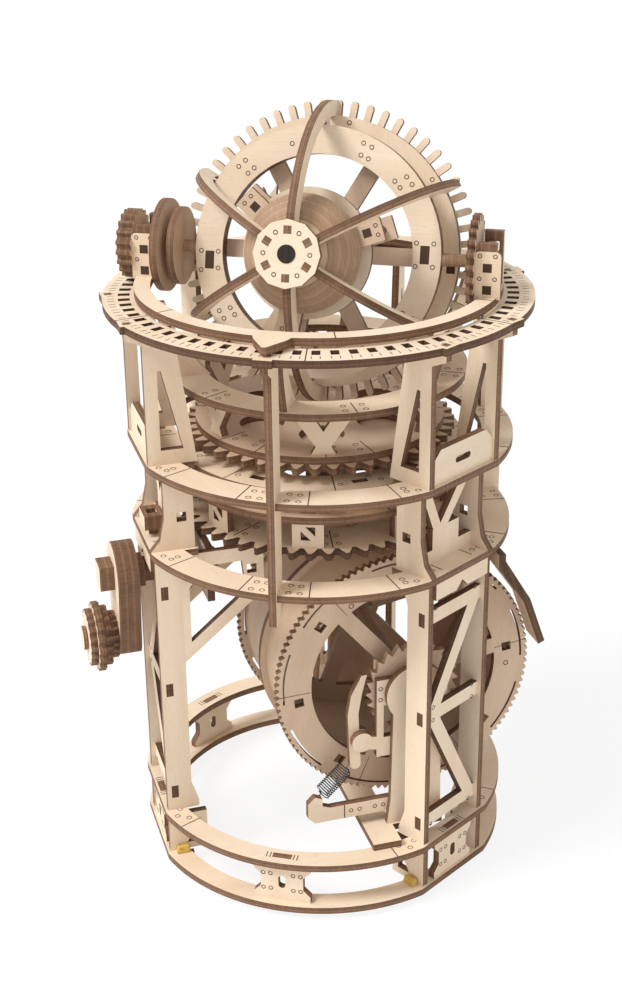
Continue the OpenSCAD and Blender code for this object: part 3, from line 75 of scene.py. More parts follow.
def set_camera():
    data = bpy.data.cameras.new("view_camera")
    data.lens = 57.7677
    data.sensor_fit = "AUTO"
    data.sensor_width = 36
    data.shift_y = -0.020576
    data.clip_end = 50
    camera = bpy.data.objects.new("view_camera", data)
    camera.location = (0.140311, -0.593559, 0.432919)
    camera.rotation_euler = [math.radians(a) for a in (66.1773, 0.6147, 13.3841)]
    bpy.context.collection.objects.link(camera)
    bpy.context.scene.camera = camera


# Soft plain light, a white floor and a white background

ROOM_LIGHT = 0.68
# Name, turn and lean in degrees, power, softness in degrees
SUNS = (("main_light", -52, 39, 2.6, 20), ("side_light", 48, 62, 0.1, 40))
FLOOR_RADIUS, FLOOR_DROP = 9, 0.0002
FLOOR_GLOW = 0.85


def set_light():
    scene = bpy.context.scene
    scene.view_settings.view_transform = "Standard"
    world = bpy.data.worlds.new("white_room")
    scene.world = world
    world.use_nodes = True
    tree = world.node_tree
    tree.nodes.clear()
    out = tree.nodes.new("ShaderNodeOutputWorld")
    mix = tree.nodes.new("ShaderNodeMixShader")
    room = tree.nodes.new("ShaderNodeBackground")
    room.inputs["Color"].default_value = (1, 1, 1, 1)
    room.inputs["Strength"].default_value = ROOM_LIGHT
    white = tree.nodes.new("ShaderNodeBackground")
    white.inputs["Color"].default_value = (1, 1, 1, 1)
    white.inputs["Strength"].default_value = 1
    path = tree.nodes.new("ShaderNodeLightPath")
    seen = tree.nodes.new("ShaderNodeMath")
    seen.operation = "MAXIMUM"
    tree.links.new(path.outputs["Is Camera Ray"], seen.inputs[0])
    tree.links.new(path.outputs["Is Glossy Ray"], seen.inputs[1])
    tree.links.new(seen.outputs[0], mix.inputs[0])
    tree.links.new(room.outputs[0], mix.inputs[1])
    tree.links.new(white.outputs[0], mix.inputs[2])
    tree.links.new(mix.outputs[0], out.inputs[0])
    for name, turn, lean, power, soft in SUNS:
        data = bpy.data.lights.new(name, "SUN")
        data.energy = power
        data.angle = math.radians(soft)
        lamp = bpy.data.objects.new(name, data)
        lamp.rotation_euler = (math.radians(lean), 0, math.radians(turn))
        bpy.context.collection.objects.link(lamp)


def add_floor():
    bm = bmesh.new()
    bmesh.ops.create_circle(bm, cap_ends=True, segments=64, radius=FLOOR_RADIUS)
    bmesh.ops.translate(bm, verts=bm.verts, vec=(0, 0, -FLOOR_DROP))
    data = bpy.data.meshes.new("floor")
    bm.to_mesh(data)
    bm.free()
    floor = bpy.data.objects.new("floor", data)
    bpy.context.collection.objects.link(floor)
    paint = bpy.data.materials.new("white_floor")
    paint.use_nodes = True
    nodes, links = paint.node_tree.nodes, paint.node_tree.links
    nodes.clear()
    out = nodes.new("ShaderNodeOutputMaterial")
    matt = nodes.new("ShaderNodeBsdfDiffuse")
    matt.inputs["Color"].default_value = (0.9, 0.9, 0.9, 1)
    glow = nodes.new("ShaderNodeEmission")
    glow.inputs["Color"].default_value = (1, 1, 1, 1)
    glow.inputs["Strength"].default_value = 1
    path = nodes.new("ShaderNodeLightPath")
    share = nodes.new("ShaderNodeMath")
    share.operation = "MULTIPLY"
    share.inputs[1].default_value = FLOOR_GLOW
    mix = nodes.new("ShaderNodeMixShader")
    links.new(path.outputs["Is Camera Ray"], share.inputs[0])
    links.new(share.outputs[0], mix.inputs[0])
    links.new(matt.outputs[0], mix.inputs[1])
    links.new(glow.outputs[0], mix.inputs[2])
    links.new(mix.outputs[0], out.inputs[0])
    data.materials.append(paint)


# Small node steps that the looks share

def stretched_noise(tree, vector, scale, detail=3, rough=0.55):
    place = tree.nodes.new("ShaderNodeMapping")
    place.inputs["Scale"].default_value = scale
    noise = tree.nodes.new("ShaderNodeTexNoise")
    noise.inputs["Scale"].default_value = 1
    noise.inputs["Detail"].default_value = detail
    noise.inputs["Roughness"].default_value = rough
    tree.links.new(vector, place.inputs["Vector"])
    tree.links.new(place.outputs[0], noise.inputs["Vector"])
    return noise.outputs["Fac"]


def ramp(tree, value, low, high):
    """0 where the value is at low, 1 where it is at high."""
    node = tree.nodes.new("ShaderNodeMapRange")
    node.inputs["From Min"].default_value = low
    node.inputs["From Max"].default_value = high
    tree.links.new(value, node.inputs["Value"])
    return node.outputs["Result"]


def between(tree, mask, low, high):
    """A value from low to high, as the mask goes from 0 to 1."""
    node = tree.nodes.new("ShaderNodeMapRange")
    node.inputs["To Min"].default_value = low
    node.inputs["To Max"].default_value = high
    tree.links.new(mask, node.inputs["Value"])
    return node.outputs["Result"]


def maths(tree, kind, a, b=0):
    node = tree.nodes.new("ShaderNodeMath")
    node.operation = kind
    for value, socket in ((a, node.inputs[0]), (b, node.inputs[1])):
        if isinstance(value, (float, int)):
            socket.default_value = value
        else:
            tree.links.new(value, socket)
    return node.outputs[0]


def blend_colour(tree, mask, first, second):
    node = tree.nodes.new("ShaderNodeMix")
    node.data_type = "RGBA"
    for value, socket in ((mask, "Factor_Float"), (first, "A_Color"), (second, "B_Color")):
        target = next(s for s in node.inputs if s.identifier == socket)
        if isinstance(value, tuple):
            target.default_value = value
        else:
            tree.links.new(value, target)
    return next(s for s in node.outputs if s.identifier == "Result_Color")


def tint(tree, mask, most, under, over):
    """Lays a second colour over the first, at most by the share named."""
    return blend_colour(tree, maths(tree, "MULTIPLY", mask, most), under, over)


# Node groups for the two looks of plywood

def new_group(name, colours):
    group = bpy.data.node_groups.new(name, "ShaderNodeTree")
    made = [("Vector", "INPUT", "NodeSocketVector")]
    made += [(colour, "INPUT", "NodeSocketColor") for colour in colours]
    made += [("Color", "OUTPUT", "NodeSocketColor"), ("Height", "OUTPUT", "NodeSocketFloat"),
             ("Roughness", "OUTPUT", "NodeSocketFloat")]
    for socket, way, kind in made:
        group.interface.new_socket(name=socket, in_out=way, socket_type=kind)
    start = group.nodes.new("NodeGroupInput")
    end = group.nodes.new("NodeGroupOutput")
    return group, end, start.outputs["Vector"], [start.outputs[colour] for colour in colours]


def end_group(group, end, colour, height, rough):
    group.links.new(colour, end.inputs["Color"])
    group.links.new(height, end.inputs["Height"])
    group.links.new(rough, end.inputs["Roughness"])
    return group


def make_face_grain():
    group, end, v, (pale, deep, scorch) = new_group("birch_face_grain", ("Pale", "Deep", "Scorch"))
    broad = ramp(group, stretched_noise(group, v, (9, 70, 1), 2), 0.3, 0.72)
    fibre = ramp(group, stretched_noise(group, v, (60, 1500, 1), 4, 0.65), 0.3, 0.7)
    fleck = ramp(group, stretched_noise(group, v, (260, 2600, 1), 1), 0.66, 0.74)
    patch = ramp(group, stretched_noise(group, v, (22, 22, 1), 2), 0.35, 0.7)
    colour = blend_colour(group, broad, pale, deep)
    colour = tint(group, fibre, 0.6, colour, deep)
    colour = tint(group, fleck, 0.5, colour, scorch)
    colour = tint(group, patch, 0.12, colour, scorch)
    height = maths(group, "SUBTRACT", fibre, fleck)
    return end_group(group, end, colour, height, between(group, fibre, 0.5, 0.68))


def make_edge_layers():
    """Layers and glue lines across each board's thickness, which is 1 along the vector's Y."""
    group, end, v, (brown, char, pale) = new_group("burnt_edge_layers", ("Brown", "Char", "Pale"))
    split = group.nodes.new("ShaderNodeSeparateXYZ")
    group.links.new(v, split.inputs[0])
    waver = maths(group, "MULTIPLY", stretched_noise(group, v, (90, 0.3, 1), 2), 0.16)
    depth = maths(group, "FRACT", maths(group, "ADD", split.outputs["Y"], waver))
    layer = maths(group, "PINGPONG", maths(group, "MULTIPLY", depth, 3.0), 1.0)
    glue = ramp(group, layer, 0.16, 0.02)
    core = ramp(group, maths(group, "ABSOLUTE", maths(group, "SUBTRACT", depth, 0.5)), 0.2, 0.12)
    streak = ramp(group, stretched_noise(group, v, (1900, 0.7, 1), 2), 0.36, 0.66)
    cloud = ramp(group, stretched_noise(group, v, (55, 0.35, 1), 2), 0.36, 0.68)
    colour = tint(group, core, 0.45, brown, pale)
    colour = tint(group, streak, 0.35, colour, char)
    colour = tint(group, cloud, 0.3, colour, pale)
    colour = tint(group, glue, 0.75, colour, char)
    height = maths(group, "SUBTRACT", streak, glue)
    return end_group(group, end, colour, height, between(group, streak, 0.55, 0.8))


# Materials

WOOD_SHEEN = 0.28
GRAIN_DEPTH = 0.00012

# Colours of the group's three sockets, then the strength of the bump
FACE_LOOKS = {
    "birch_face": ((0.86, 0.725, 0.57), (0.75, 0.59, 0.425), (0.5, 0.33, 0.2), 0.25),
    # The second face is a darker, warmer copy of the birch face: painted shade for parts that lie in
    # shade
    "shaded_birch_face": ((0.68, 0.52, 0.385), (0.56, 0.4, 0.28), (0.38, 0.24, 0.15), 0.25),
}
EDGE_LOOKS = {
    "burnt_edge": ((0.17, 0.088, 0.048), (0.055, 0.027, 0.015), (0.32, 0.185, 0.108), 0.3),
    # A darker copy of the burnt edge: the edges' real char, made darker with painted shade for edges that
    # lie in shade
    "shaded_burnt_edge": ((0.095, 0.046, 0.025), (0.036, 0.017, 0.009), (0.18, 0.098, 0.055), 0.3),
    # The turned dowels' own layers, toned darker in part as painted shade
    "turned_layers_with_shade": ((0.39, 0.25, 0.155), (0.2, 0.12, 0.07), (0.5, 0.345, 0.23), 0.25),
    "bore_shadow": ((0.03, 0.018, 0.012), (0.012, 0.008, 0.006), (0.05, 0.03, 0.02), 0.1),
    "burnt_line": ((0.055, 0.028, 0.016), (0.03, 0.015, 0.009), (0.1, 0.055, 0.033), 0.2),
}
WITHOUT_GRAIN_MAP = ("bore_shadow", "burnt_line")

WIRE_DARK, WIRE_LIGHT = (0.05, 0.05, 0.054, 1), (0.13, 0.13, 0.135, 1)
YELLOW_DARK, YELLOW_LIGHT = (0.52, 0.3, 0.045, 1), (0.68, 0.46, 0.12, 1)

# Parts that lie in shade, whose faces get the darker copy of the birch face as painted shade
SHADED_NODES = {
    "carriage_disc", "carriage_gear", "drum", "rear_bridge", "lower_spider", "upper_spider", "drum_shaft",
    "drum_rear_support", "guard_board", "balance_frame", "inner_axle", "tilt_wheels", "serrated_wheel",
    "centre_shaft", "carousel_ring",
}
# Parts whose edges get the darker burnt edge, its extra darkness painted shade
SHADED_EDGE_NODES = {
    "guard_board", "winder_bearing", "left_truss", "right_truss", "rear_truss", "centre_shaft",
    "carousel_gear", "dial_ring",
}
TURNED_NODES = {"inner_axle", "drum_shaft", "arbor", "tilt_pins"}


def new_material(name):
    paint = bpy.data.materials.new(name)
    paint.use_nodes = True
    tree = paint.node_tree
    shader = next(n for n in tree.nodes if n.type == "BSDF_PRINCIPLED")
    return paint, tree, shader


def plywood(name, group, sockets, look):
    paint, tree, shader = new_material(name)
    if name in WITHOUT_GRAIN_MAP:
        vector = tree.nodes.new("ShaderNodeTexCoord").outputs["Object"]
    else:
        source = tree.nodes.new("ShaderNodeUVMap")
        source.uv_map = "grain"
        vector = source.outputs[0]
    wood = tree.nodes.new("ShaderNodeGroup")
    wood.node_tree = group
    tree.links.new(vector, wood.inputs["Vector"])
    *colours, bump = look
    for socket, colour in zip(sockets, colours):
        wood.inputs[socket].default_value = (*colour, 1)
    raised = tree.nodes.new("ShaderNodeBump")
    raised.inputs["Strength"].default_value = bump
    raised.inputs["Distance"].default_value = GRAIN_DEPTH
    tree.links.new(wood.outputs["Height"], raised.inputs["Height"])
    tree.links.new(wood.outputs["Color"], shader.inputs["Base Color"])
    tree.links.new(wood.outputs["Roughness"], shader.inputs["Roughness"])
    tree.links.new(raised.outputs[0], shader.inputs["Normal"])
    shader.inputs["Specular IOR Level"].default_value = WOOD_SHEEN
    return paint


def streaked(name, scale, dark, light, smooth, rough, metal):
    paint, tree, shader = new_material(name)
    source = tree.nodes.new("ShaderNodeTexCoord")
    streak = ramp(tree, stretched_noise(tree, source.outputs["Object"], scale), 0.3, 0.7)
    tree.links.new(blend_colour(tree, streak, dark, light), shader.inputs["Base Color"])
    tree.links.new(between(tree, streak, smooth, rough), shader.inputs["Roughness"])
    shader.inputs["Metallic"].default_value = metal
    return paint


# Grain runs along each board, and the cut edges show the layers

WELD = 2e5
# Of two opposite normals, the one on this side stands for both
HALF_SIDE = np.array([0.13, 0.71, 0.69])
FACE_SLOT, EDGE_SLOT = 0, 1
# A triangle is part of a board's face above this cosine
FACE_COSINE = 0.9
DRUM_WALL_IN, DRUM_WALL_OUT = 0.046, 0.0517
WALL_COSINE = 0.2


def board_of_each_triangle(points, corners):
    keys = np.round(points * WELD).astype(np.int64)
    _, same = np.unique(keys, axis=0, return_inverse=True)
    same = same.reshape(-1)[corners]
    parent = list(range(int(same.max()) + 1))

    def root(i):
        while parent[i] != i:
            parent[i] = parent[parent[i]]
            i = parent[i]
        return i

    for a, b, c in same.tolist():
        ra, rb, rc = root(a), root(b), root(c)
        parent[rb] = ra
        parent[root(rc)] = ra
    return np.array([root(i) for i in same[:, 0].tolist()])


def across_board(normals, areas):
    """The direction across a board's thickness: the normal that most of its area shares."""
    flip = np.where((normals @ HALF_SIDE)[:, None] < 0, -1, 1)
    found, back = np.unique(np.round(normals * flip, 2), axis=0, return_inverse=True)
    thin = found[np.bincount(back.reshape(-1), weights=areas).argmax()]
    return thin / np.linalg.norm(thin)


def along_board(tri, thin):
    """The board's long direction, square to its thickness."""
    flat = tri.reshape(-1, 3)
    spread = flat - flat.mean(0)
    spread = spread - np.outer(spread @ thin, thin)
    _, _, axes = np.linalg.svd(spread, full_matrices=False)
    along = axes[0] - thin * (axes[0] @ thin)
    return along / np.linalg.norm(along)


def board_map(tri, normals, areas, k):
    """Each corner's place on board k, and which triangles are its faces."""
    thin = across_board(normals, areas)
    along = along_board(tri, thin)
    a, o, t = tri @ along, tri @ np.cross(thin, along), tri @ thin
    is_face = np.abs(normals @ thin) > FACE_COSINE
    middle = tri.reshape(-1, 3).mean(0)
    shift = (math.sin(middle[0] * 911 + k * 2.3) * 0.4,
             math.sin(middle[1] * 773 + middle[2] * 541 + k) * 0.4)
    face_uv = np.stack([a + shift[0], o + shift[1]], axis=2)
    edge_uv = np.stack([a + o * 0.83 + shift[0], (t - t.min()) / (PLY / 1000)], axis=2)
    return np.where(is_face[:, None, None], face_uv, edge_uv), is_face


def wrap_drum_wall(tri, normal, uv, kind):
    """Unrolls the drum's wall, whose face is bent, so that the grain runs round it."""
    axle = np.array(in_drum(0, 1, 0))
    rel = tri - np.array(in_drum(DRUM_U, 0, DRUM_Z)) / 1000
    deep = rel @ axle
    radial = rel - deep[:, :, None] * axle
    r = np.linalg.norm(radial, axis=2)
    first = np.cross(axle, UP)
    turn = np.arctan2(radial @ np.cross(axle, first), radial @ first)
    turn = np.where(turn - turn[:, :1] > math.pi, turn - 2 * math.pi, turn)
    turn = np.where(turn - turn[:, :1] < -math.pi, turn + 2 * math.pi, turn)
    in_wall = (r.min(1) > DRUM_WALL_IN) & (r.max(1) < DRUM_WALL_OUT)
    bent = in_wall & (np.abs(normal @ axle) < WALL_COSINE)
    uv[bent] = np.stack([turn * DRUM_WALL_OUT, deep], axis=2)[bent]
    kind[bent] = FACE_SLOT


def lay_grain(node, mats, bent_wall=False):
    mesh = node.data
    points = np.empty(len(mesh.vertices) * 3)
    mesh.vertices.foreach_get("co", points)
    points = points.reshape(-1, 3)
    corners = np.empty(len(mesh.loops), dtype=np.int32)
    mesh.loops.foreach_get("vertex_index", corners)
    corners = corners.reshape(-1, 3)
    boards = board_of_each_triangle(points, corners)
    tri = points[corners]
    cross = np.cross(tri[:, 1] - tri[:, 0], tri[:, 2] - tri[:, 0])
    area = np.linalg.norm(cross, axis=1) + 1e-18
    normal = cross / area[:, None]
    uv = np.zeros((len(corners), 3, 2))
    kind = np.full(len(corners), EDGE_SLOT, dtype=np.int32)
    for k, board in enumerate(np.unique(boards)):
        mine = boards == board
        uv[mine], is_face = board_map(tri[mine], normal[mine], area[mine], k)
        kind[mine] = np.where(is_face, FACE_SLOT, EDGE_SLOT)
    if bent_wall:
        wrap_drum_wall(tri, normal, uv, kind)
    layer = mesh.uv_layers.new(name="grain")
    layer.data.foreach_set("uv", uv.reshape(-1))
    mesh.materials.clear()
    for mat in mats:
        mesh.materials.append(mat)
    mesh.polygons.foreach_set("material_index", kind)
    mesh.update()


# Places in the tower, the cage and the drum, from millimetres along their own directions

def in_tower(angle, side, out, height):
    a = math.radians(angle)
    c, s = math.cos(a), math.sin(a)
    return Vector((side * c + out * s, side * s - out * c, height))


def in_cage(front, side, up):
    c, s = math.cos(CAGE_LEAN), math.sin(CAGE_LEAN)
    return Vector((side, -front * c + up * s, AXIS_Z + front * s + up * c))


def in_drum(u, out, height):
    c, s = math.cos(DRUM_TURN), math.sin(DRUM_TURN)
    return Vector((u * c + out * s, u * s - out * c, height))


def stand(place, normal, along=None):
    """A matrix in metres, with Z along the normal and X as near as it can be to along."""
    z = Vector(normal).normalized()
    if along is None:
        along = UP if abs(z.z) < 0.9 else (1, 0, 0)
    hint = Vector(along)
    x = (hint - z * hint.dot(z)).normalized()
    turn = Matrix((x, z.cross(x), z)).transposed().to_4x4()
    return Matrix.Translation(Vector(place) / 1000) @ turn


# Small marks and joint lines that lie on the boards

def sunk_disc(bm, where, radius, height, segments, sink):
    """A thin disc with its middle sunk inside a narrow rim, in millimetres."""
    made = bmesh.ops.create_cone(bm, cap_ends=True, segments=segments, radius1=radius / 1000,
                                 radius2=radius / 1000, depth=height / 1000, matrix=where)
    outward = where.to_3x3() @ Vector(UP)
    top = max({f for v in made["verts"] for f in v.link_faces},
              key=lambda f: f.calc_center_median().dot(outward))
    bmesh.ops.inset_individual(bm, faces=[top], thickness=0.0005, depth=-sink / 1000)


def add_mark(bm, place, normal, radius=MARK):
    """A shallow burnt ring around the bare wood of the board."""
    sunk_disc(bm, stand(place, normal), radius, MARK_HIGH, 12, 0.12)


def add_bar(bm, place, normal, along, length, width, height=LINE_HIGH):
    """A burnt line or tenon on a board."""
    size = Matrix.Diagonal((length / 1000, width / 1000, height / 1000, 1))
    bmesh.ops.create_cube(bm, size=1, matrix=stand(place, normal, along) @ size)


def joint_across(bm, z, inner, outer, deg):
    """A joint line across a ring."""
    middle = in_tower(deg, 0, (inner + outer) / 2, z)
    add_bar(bm, middle, UP, in_tower(deg, 0, 1, 0), outer - inner, JOINT_WIDE)


def joint_and_marks(bm, z, inner, outer, deg, places):
    """A joint with marks near it, each at degrees and a share of the ring's width."""
    joint_across(bm, z, inner, outer, deg)
    for turn, share in places:
        add_mark(bm, in_tower(deg + turn, 0, inner + (outer - inner) * share, z), UP)


def keep_piece(bm, name, body, mats):
    bmesh.ops.recalc_face_normals(bm, faces=bm.faces)
    data = bpy.data.meshes.new(name)
    bm.to_mesh(data)
    bm.free()
    piece = bpy.data.objects.new(name, data)
    bpy.context.collection.objects.link(piece)
    for mat in mats:
        data.materials.append(mat)
    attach(piece, body)
    return piece


def deck_marks(bm, z):
    near_posts = (
        (3.9, DECK_IN + 3.6), (7.2, DECK_IN + 3.9), (3.9, TOWER_R - 3), (7.2, TOWER_R - 2.7),
    )
    near_corner = ((38.9, TOWER_R - 4.2), (42.2, TOWER_R - 3.2))
    for a in ROUND_SIDES:
        for s in (-1, 1):
            for deg, r in near_posts:
                add_mark(bm, in_tower(a + s * deg, 0, r, z), UP)
            for deg in (10, 35.6):
                joint_across(bm, z, DECK_IN, TOWER_R, a + s * deg)
            for deg, r in near_corner:
                add_mark(bm, in_tower(a + s * deg, 0, r, z), UP)
    for a in FLAT_SIDES:
        for s in (-1, 1):
            add_bar(bm, in_tower(a, s * 9, (FLAT_IN + FLAT_OUT) / 2, z), UP, in_tower(a, 0, 1, 0),
                    FLAT_OUT - FLAT_IN, JOINT_WIDE)
            for side, out in ((12.4, 70.6), (16, 70.8), (12.2, 60.4), (25.6, 66.6)):
                add_mark(bm, in_tower(a, s * side, out, z), UP)


def base_marks(bm):
    base_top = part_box("base_upper_ring")[1].z * 1000
    for a in FLAT_SIDES:
        for s in (-1, 1):
            for turn, r in ((15.5, 72.4), (18.5, 75.6), (21.5, 72.4)):
                add_mark(bm, in_tower(a + s * turn, 0, r, base_top), UP)
            corner = a + s * 24
            add_bar(bm, in_tower(corner, 0, BASE_JOINT_R, base_top), UP, in_tower(corner, 0, 1, 0),
                    BASE_JOINT_W, JOINT_WIDE)
    for a in range(0, 360, 60):
        out = in_tower(a, 0, 1, 0)
        for s in (-1, 1):
            for side, z in ((4.8, 18.7), (7.9, 18.7), (4.8, 11.3), (7.9, 11.3)):
                add_mark(bm, in_tower(a, s * side, CONNECTOR_OUT, z), out, SMALL_MARK)
            for side in (4.9, 6.4):
                add_bar(bm, in_tower(a, s * side, CONNECTOR_TAB_R, base_top), UP, out, 3.4, TAB_WIDE)


def dial_marks(bm):
    for k in range(72):
        for turn in (-1.1, 1.1):
            deg = 5 * k + 2.5 + turn
            add_bar(bm, in_tower(deg, 0, DIAL_TICK_R, DIAL), UP, in_tower(deg, 0, 1, 0), 2.6, TICK_WIDE)
    for k in range(6):
        joint_across(bm, DIAL, DIAL_IN, DIAL_OUT, 60 * k + 10)


def support_marks(bm):
    truss_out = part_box("rear_truss")[1].y * 1000
    for a in FLAT_SIDES:
        out = in_tower(a, 0, 1, 0)
        for s in (-1, 1):
            for z in (134.4, 89.3, 83.4, 33.2):
                add_mark(bm, in_tower(a, s * TRUSS_MARK_X, truss_out, z), out, SMALL_MARK)
    out = in_drum(0, 1, 0)
    foot_z = 38
    for u in (-5, -1.3, 5.4, 9.1):
        add_mark(bm, in_drum(u, SUPPORT_FRONT, foot_z), out, SMALL_MARK)
    for u in (-7.8, 12.6):
        add_bar(bm, in_drum(u, SUPPORT_FRONT, foot_z), out, UP, 6.3, JOINT_WIDE)
    for u, z in ((7.6, 94), (10.9, 94), (7.6, 88.9), (10.9, 88.9)):
        add_mark(bm, in_drum(u, SUPPORT_FRONT, z), out, SMALL_MARK)


def tower_marks(mats):
    bm = bmesh.new()
    deck_marks(bm, DECK_LOW)
    deck_marks(bm, DECK_HIGH)
    base_marks(bm)
    dial_marks(bm)
    support_marks(bm)
    keep_piece(bm, "tower_marks", "tower", mats)


def carousel_marks(mats):
    """Joints and marks at every eighth of a turn on the carousel's three rings."""
    bm = bmesh.new()
    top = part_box("carousel_plate")[1].z * 1000
    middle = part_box("carousel_ring")[1].z * 1000
    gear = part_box("carousel_gear")[1].z * 1000
    for k in range(8):
        turn = 45 * k
        joint_and_marks(bm, top, 44, 58.6, turn + 19, ((2.6, 0.62), (20.3, 0.62), (16.6, 0.3)))
        joint_and_marks(bm, middle, 44, 57, turn - 3.5, ((3, 0.62), (20, 0.62)))
        joint_and_marks(bm, gear, 38, 53.5, turn + 18.5, ((-3, 0.3), (3, 0.3), (-3, 0.75), (3, 0.75)))
    keep_piece(bm, "carousel_marks", "carousel", mats)


def carriage_marks(mats):
    bm = bmesh.new()
    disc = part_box("carriage_disc")[1].z * 1000
    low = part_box("carriage_lower_ring")[1].z * 1000
    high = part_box("carriage_upper_ring")[1].z * 1000
    low_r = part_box("carriage_lower_ring")[1].x * 1000
    for k in range(3):
        for deg, side in ((16, 4.3), (37.5, -4.3), (-16, -4.3), (-37.5, 4.3)):
            joint_and_marks(bm, disc, 38, 50.5, deg + 120 * k, ((side, 0.6), (side, 0.2)))
    for k in range(6):
        joint_and_marks(bm, low, low_r - 10.5, low_r, 60 * k + 27,
                        ((-4, 0.28), (-4, 0.74), (4, 0.28), (4, 0.74)))
        joint_across(bm, high, 66, 72.5, 60 * k + 18)
    front = (0, -1, 0)
    for s in (-1, 1):
        x = s * UPRIGHT_X
        for dx in (-2.9, 2.9):
            for z in (265.9, 257.1):
                add_mark(bm, (x + dx, UPRIGHT_FRONT, z), front, TINY_MARK)
        for z in (261.3, 252.7):
            add_bar(bm, (x, UPRIGHT_FRONT, z), front, (1, 0, 0), 3.4, 3.4, TENON_HIGH)
    keep_piece(bm, "carriage_marks", "carriage", mats)


# Middles of the gimbal ring's groups of four marks: degrees, and how far each group is skewed
GIMBAL_GROUPS = ((133, 0.3), (66, 0.3), (41, -0.3), (-33, 0.2), (216, -0.2), (-62, 0.3), (246, -0.3))
# Other marks on the gimbal ring, by side and height from the axis
GIMBAL_MARKS = (
    (-11.7, 41.3), (-4, 42.1), (-40.8, 20.7), (-38.1, 18.5), (-46.6, -1.5), (-46.4, -9),
    (-39.7, -1.5), (-39.5, -8), (39.2, 5.8), (45.9, 5.8), (39.2, -3.1), (45.9, -3.1),
)


def cage_marks(mats):
    bm = bmesh.new()
    front = in_cage(1, 0, 0) - in_cage(0, 0, 0)
    for k in range(6):
        a = math.radians(60 * k)
        place = in_cage(HUB_FRONT, HUB_MARK_R * math.cos(a), HUB_MARK_R * math.sin(a))
        add_mark(bm, place, front, HUB_MARK)
    for deg, skew in GIMBAL_GROUPS:
        for radial, across in ((2.3, 1.5), (2.3, -1.9), (-2.2, 1.9), (-2.2, -1.5)):
            turned = math.radians(deg) + (across + skew * radial) / 43.5
            r = GIMBAL_R + radial
            place = in_cage(GIMBAL_FRONT, r * math.cos(turned), r * math.sin(turned))
            add_mark(bm, place, front, SMALL_MARK)
    for x, z in GIMBAL_MARKS:
        add_mark(bm, in_cage(GIMBAL_FRONT, x, z), front, SMALL_MARK)
    for x, z in ((42.6, 1.4), (-43.1, -4.9)):
        add_bar(bm, in_cage(GIMBAL_FRONT, x, z), front, UP, 7, 3.6, TENON_HIGH)
    for x, z in ((7, 51), (41.2, 30.4)):
        add_mark(bm, in_cage(RIM_FRONT, x, z), front, SMALL_MARK)
    add_bar(bm, in_cage(RIM_FRONT, 50.6, -1.9), front, UP, 7.4, 3.4, TENON_HIGH)
    keep_piece(bm, "cage_marks", "cage", mats)


def inner_marks(mats):
    """A square tenon and four marks on each arm of the frame inside the cage."""
    bm = bmesh.new()
    front = in_cage(1, 0, 0) - in_cage(0, 0, 0)
    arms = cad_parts["balance_frame"]

    def on_arm(c, s, r, sideways):
        before = in_cage(60, r * c - sideways * s, r * s + sideways * c) / 1000
        found, place, _, _ = arms.ray_cast(before, -front.normalized())
        return place * 1000 if found else None

    for deg in (20, 140, 260):
        c, s = math.cos(math.radians(deg)), math.sin(math.radians(deg))
        place = on_arm(c, s, 25.5, 0)
        if place is not None:
            add_bar(bm, place, front, in_cage(0, c, s) - in_cage(0, 0, 0), 3.2, 3.2, TENON_HIGH)
        for r, sideways in ((20.8, 2.2), (20.8, -2.2), (29.4, 1.8), (29.4, -1.8)):
            place = on_arm(c, s, r, sideways)
            if place is not None:
                add_mark(bm, place, front, TINY_MARK)
    keep_piece(bm, "inner_marks", "inner_cage", mats)


def hub_bore(mats):
    """A near-black disc of painted shade for the bore in the middle of the hub plate, inside a scorched
    rim.
    """
    bm = bmesh.new()
    where = stand(in_cage(HUB_FRONT + 0.05, 0, 0), in_cage(1, 0, 0) - in_cage(0, 0, 0))
    sunk_disc(bm, where, 3.4, BORE_HIGH, 40, 0.1)
    keep_piece(bm, "hub_bore", "cage", mats)


def drum_marks(mats):
    bm = bmesh.new()
    out = in_drum(0, 1, 0)
    for u, z in ((66.8, 96.8), (67.7, 88.5), (-0.6, 126.6), (7.2, 126.4)):
        add_mark(bm, in_drum(u, DRUM_FRONT, z), out)
    line_r = 47.5
    for deg in (8, 62, 128, 182, 248, 302):
        a = math.radians(deg)
        c, s = math.cos(a), math.sin(a)
        place = in_drum(DRUM_U + line_r * c, DRUM_FRONT, DRUM_Z + line_r * s)
        add_bar(bm, place, out, in_drum(c, 0, s), 14.4, DRUM_LINE_WIDE, DRUM_LINE_HIGH)
    keep_piece(bm, "drum_marks", "drum", mats)


# Small added pieces: cheek plates on the carriage's uprights, and soft wedges at two columns' feet

def round_edges(bm, edges, radius, segments):
    bmesh.ops.bevel(bm, geom=edges, offset=radius / 1000, offset_type="OFFSET", affect="EDGES",
                    segments=segments, profile=0.5, material=-1)
    bmesh.ops.triangulate(bm, faces=bm.faces)


def cheek_plate(name, x, mats):
    wide, high, middle_z = 10.3, 18.6, 258.4
    bm = bmesh.new()
    place = Matrix.Translation(Vector((x, UPRIGHT_FRONT + PLY / 2, middle_z)) / 1000)
    size = Matrix.Diagonal((wide / 1000, PLY / 1000, high / 1000, 1))
    bmesh.ops.create_cube(bm, size=1, matrix=place @ size)
    top_corners = [e for e in bm.edges if abs((e.verts[0].co - e.verts[1].co).y) > PLY / 2000
                   and min(v.co.z for v in e.verts) > middle_z / 1000]
    round_edges(bm, top_corners, 2.2, 5)
    plate = keep_piece(bm, name, "carriage", mats)
    lay_grain(plate, mats)


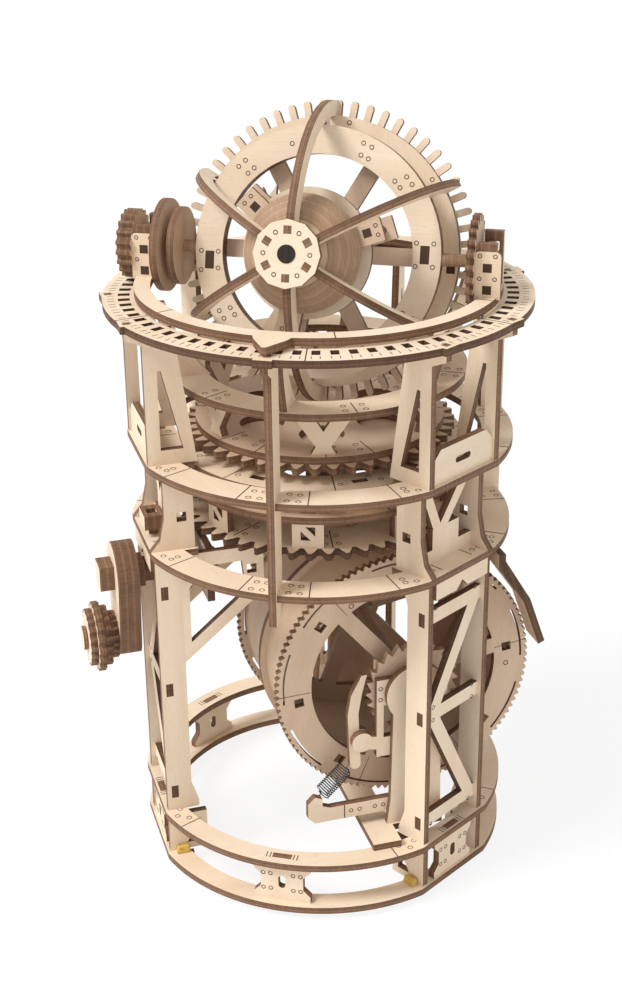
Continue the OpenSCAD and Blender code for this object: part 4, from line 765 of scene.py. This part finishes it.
def foot_pad(name, angle, side, mats):
    """A small soft wedge on the lower ring, against a column's outer side."""
    long, wide, high, out = 6.2, 3.4, 3.2, 69.4
    middle_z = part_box("base_lower_ring")[1].z * 1000 + high / 2
    bm = bmesh.new()
    where = stand(in_tower(angle, side, out, middle_z), UP, in_tower(angle, 0, 1, 0))
    size = Matrix.Diagonal((long / 1000, wide / 1000, high / 1000, 1))
    bmesh.ops.create_cube(bm, size=1, matrix=where @ size)
    top = [v for v in bm.verts if v.co.z > middle_z / 1000]
    bmesh.ops.scale(bm, vec=(0.8, 0.66, 1), space=where.inverted(), verts=top)
    round_edges(bm, bm.edges[:], 0.6, 3)
    keep_piece(bm, name, "tower", mats)


def dress():
    grain, layers = make_face_grain(), make_edge_layers()
    looks = {name: plywood(name, grain, ("Pale", "Deep", "Scorch"), look)
             for name, look in FACE_LOOKS.items()}
    looks.update({name: plywood(name, layers, ("Brown", "Char", "Pale"), look)
                  for name, look in EDGE_LOOKS.items()})
    wire = streaked("spring_wire", (900, 900, 3500), WIRE_DARK, WIRE_LIGHT, 0.26, 0.42, 1)
    yellow = streaked("soft_yellow", (420, 420, 900), YELLOW_DARK, YELLOW_LIGHT, 0.45, 0.65, 0)
    for name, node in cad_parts.items():
        if name == "coil_spring":
            node.data.materials.clear()
            node.data.materials.append(wire)
            continue
        face, cut = "birch_face", "burnt_edge"
        # Parts that lie in shade get the darker birch face, as painted shade
        if name in SHADED_NODES:
            face = "shaded_birch_face"
        # Their edges get the darker burnt edge, with painted shade
        if name in SHADED_EDGE_NODES:
            cut = "shaded_burnt_edge"
        # Turned parts get their own layers, darkened in part with painted shade
        if name in TURNED_NODES:
            cut = "turned_layers_with_shade"
        lay_grain(node, (looks[face], looks[cut]), bent_wall=name == "drum")
    for add in (tower_marks, carousel_marks, carriage_marks, cage_marks, inner_marks, drum_marks):
        add((looks["burnt_line"],))
    hub_bore((looks["bore_shadow"],))
    foot_pad("left_foot_pad", 300, 20.72, (yellow,))
    foot_pad("right_foot_pad", 60, -20.72, (yellow,))
    for name, x in (("left_cheek_plate", -UPRIGHT_X), ("right_cheek_plate", UPRIGHT_X)):
        cheek_plate(name, x, (looks["birch_face"], looks["burnt_edge"]))


set_camera()
set_light()
add_floor()
dress()
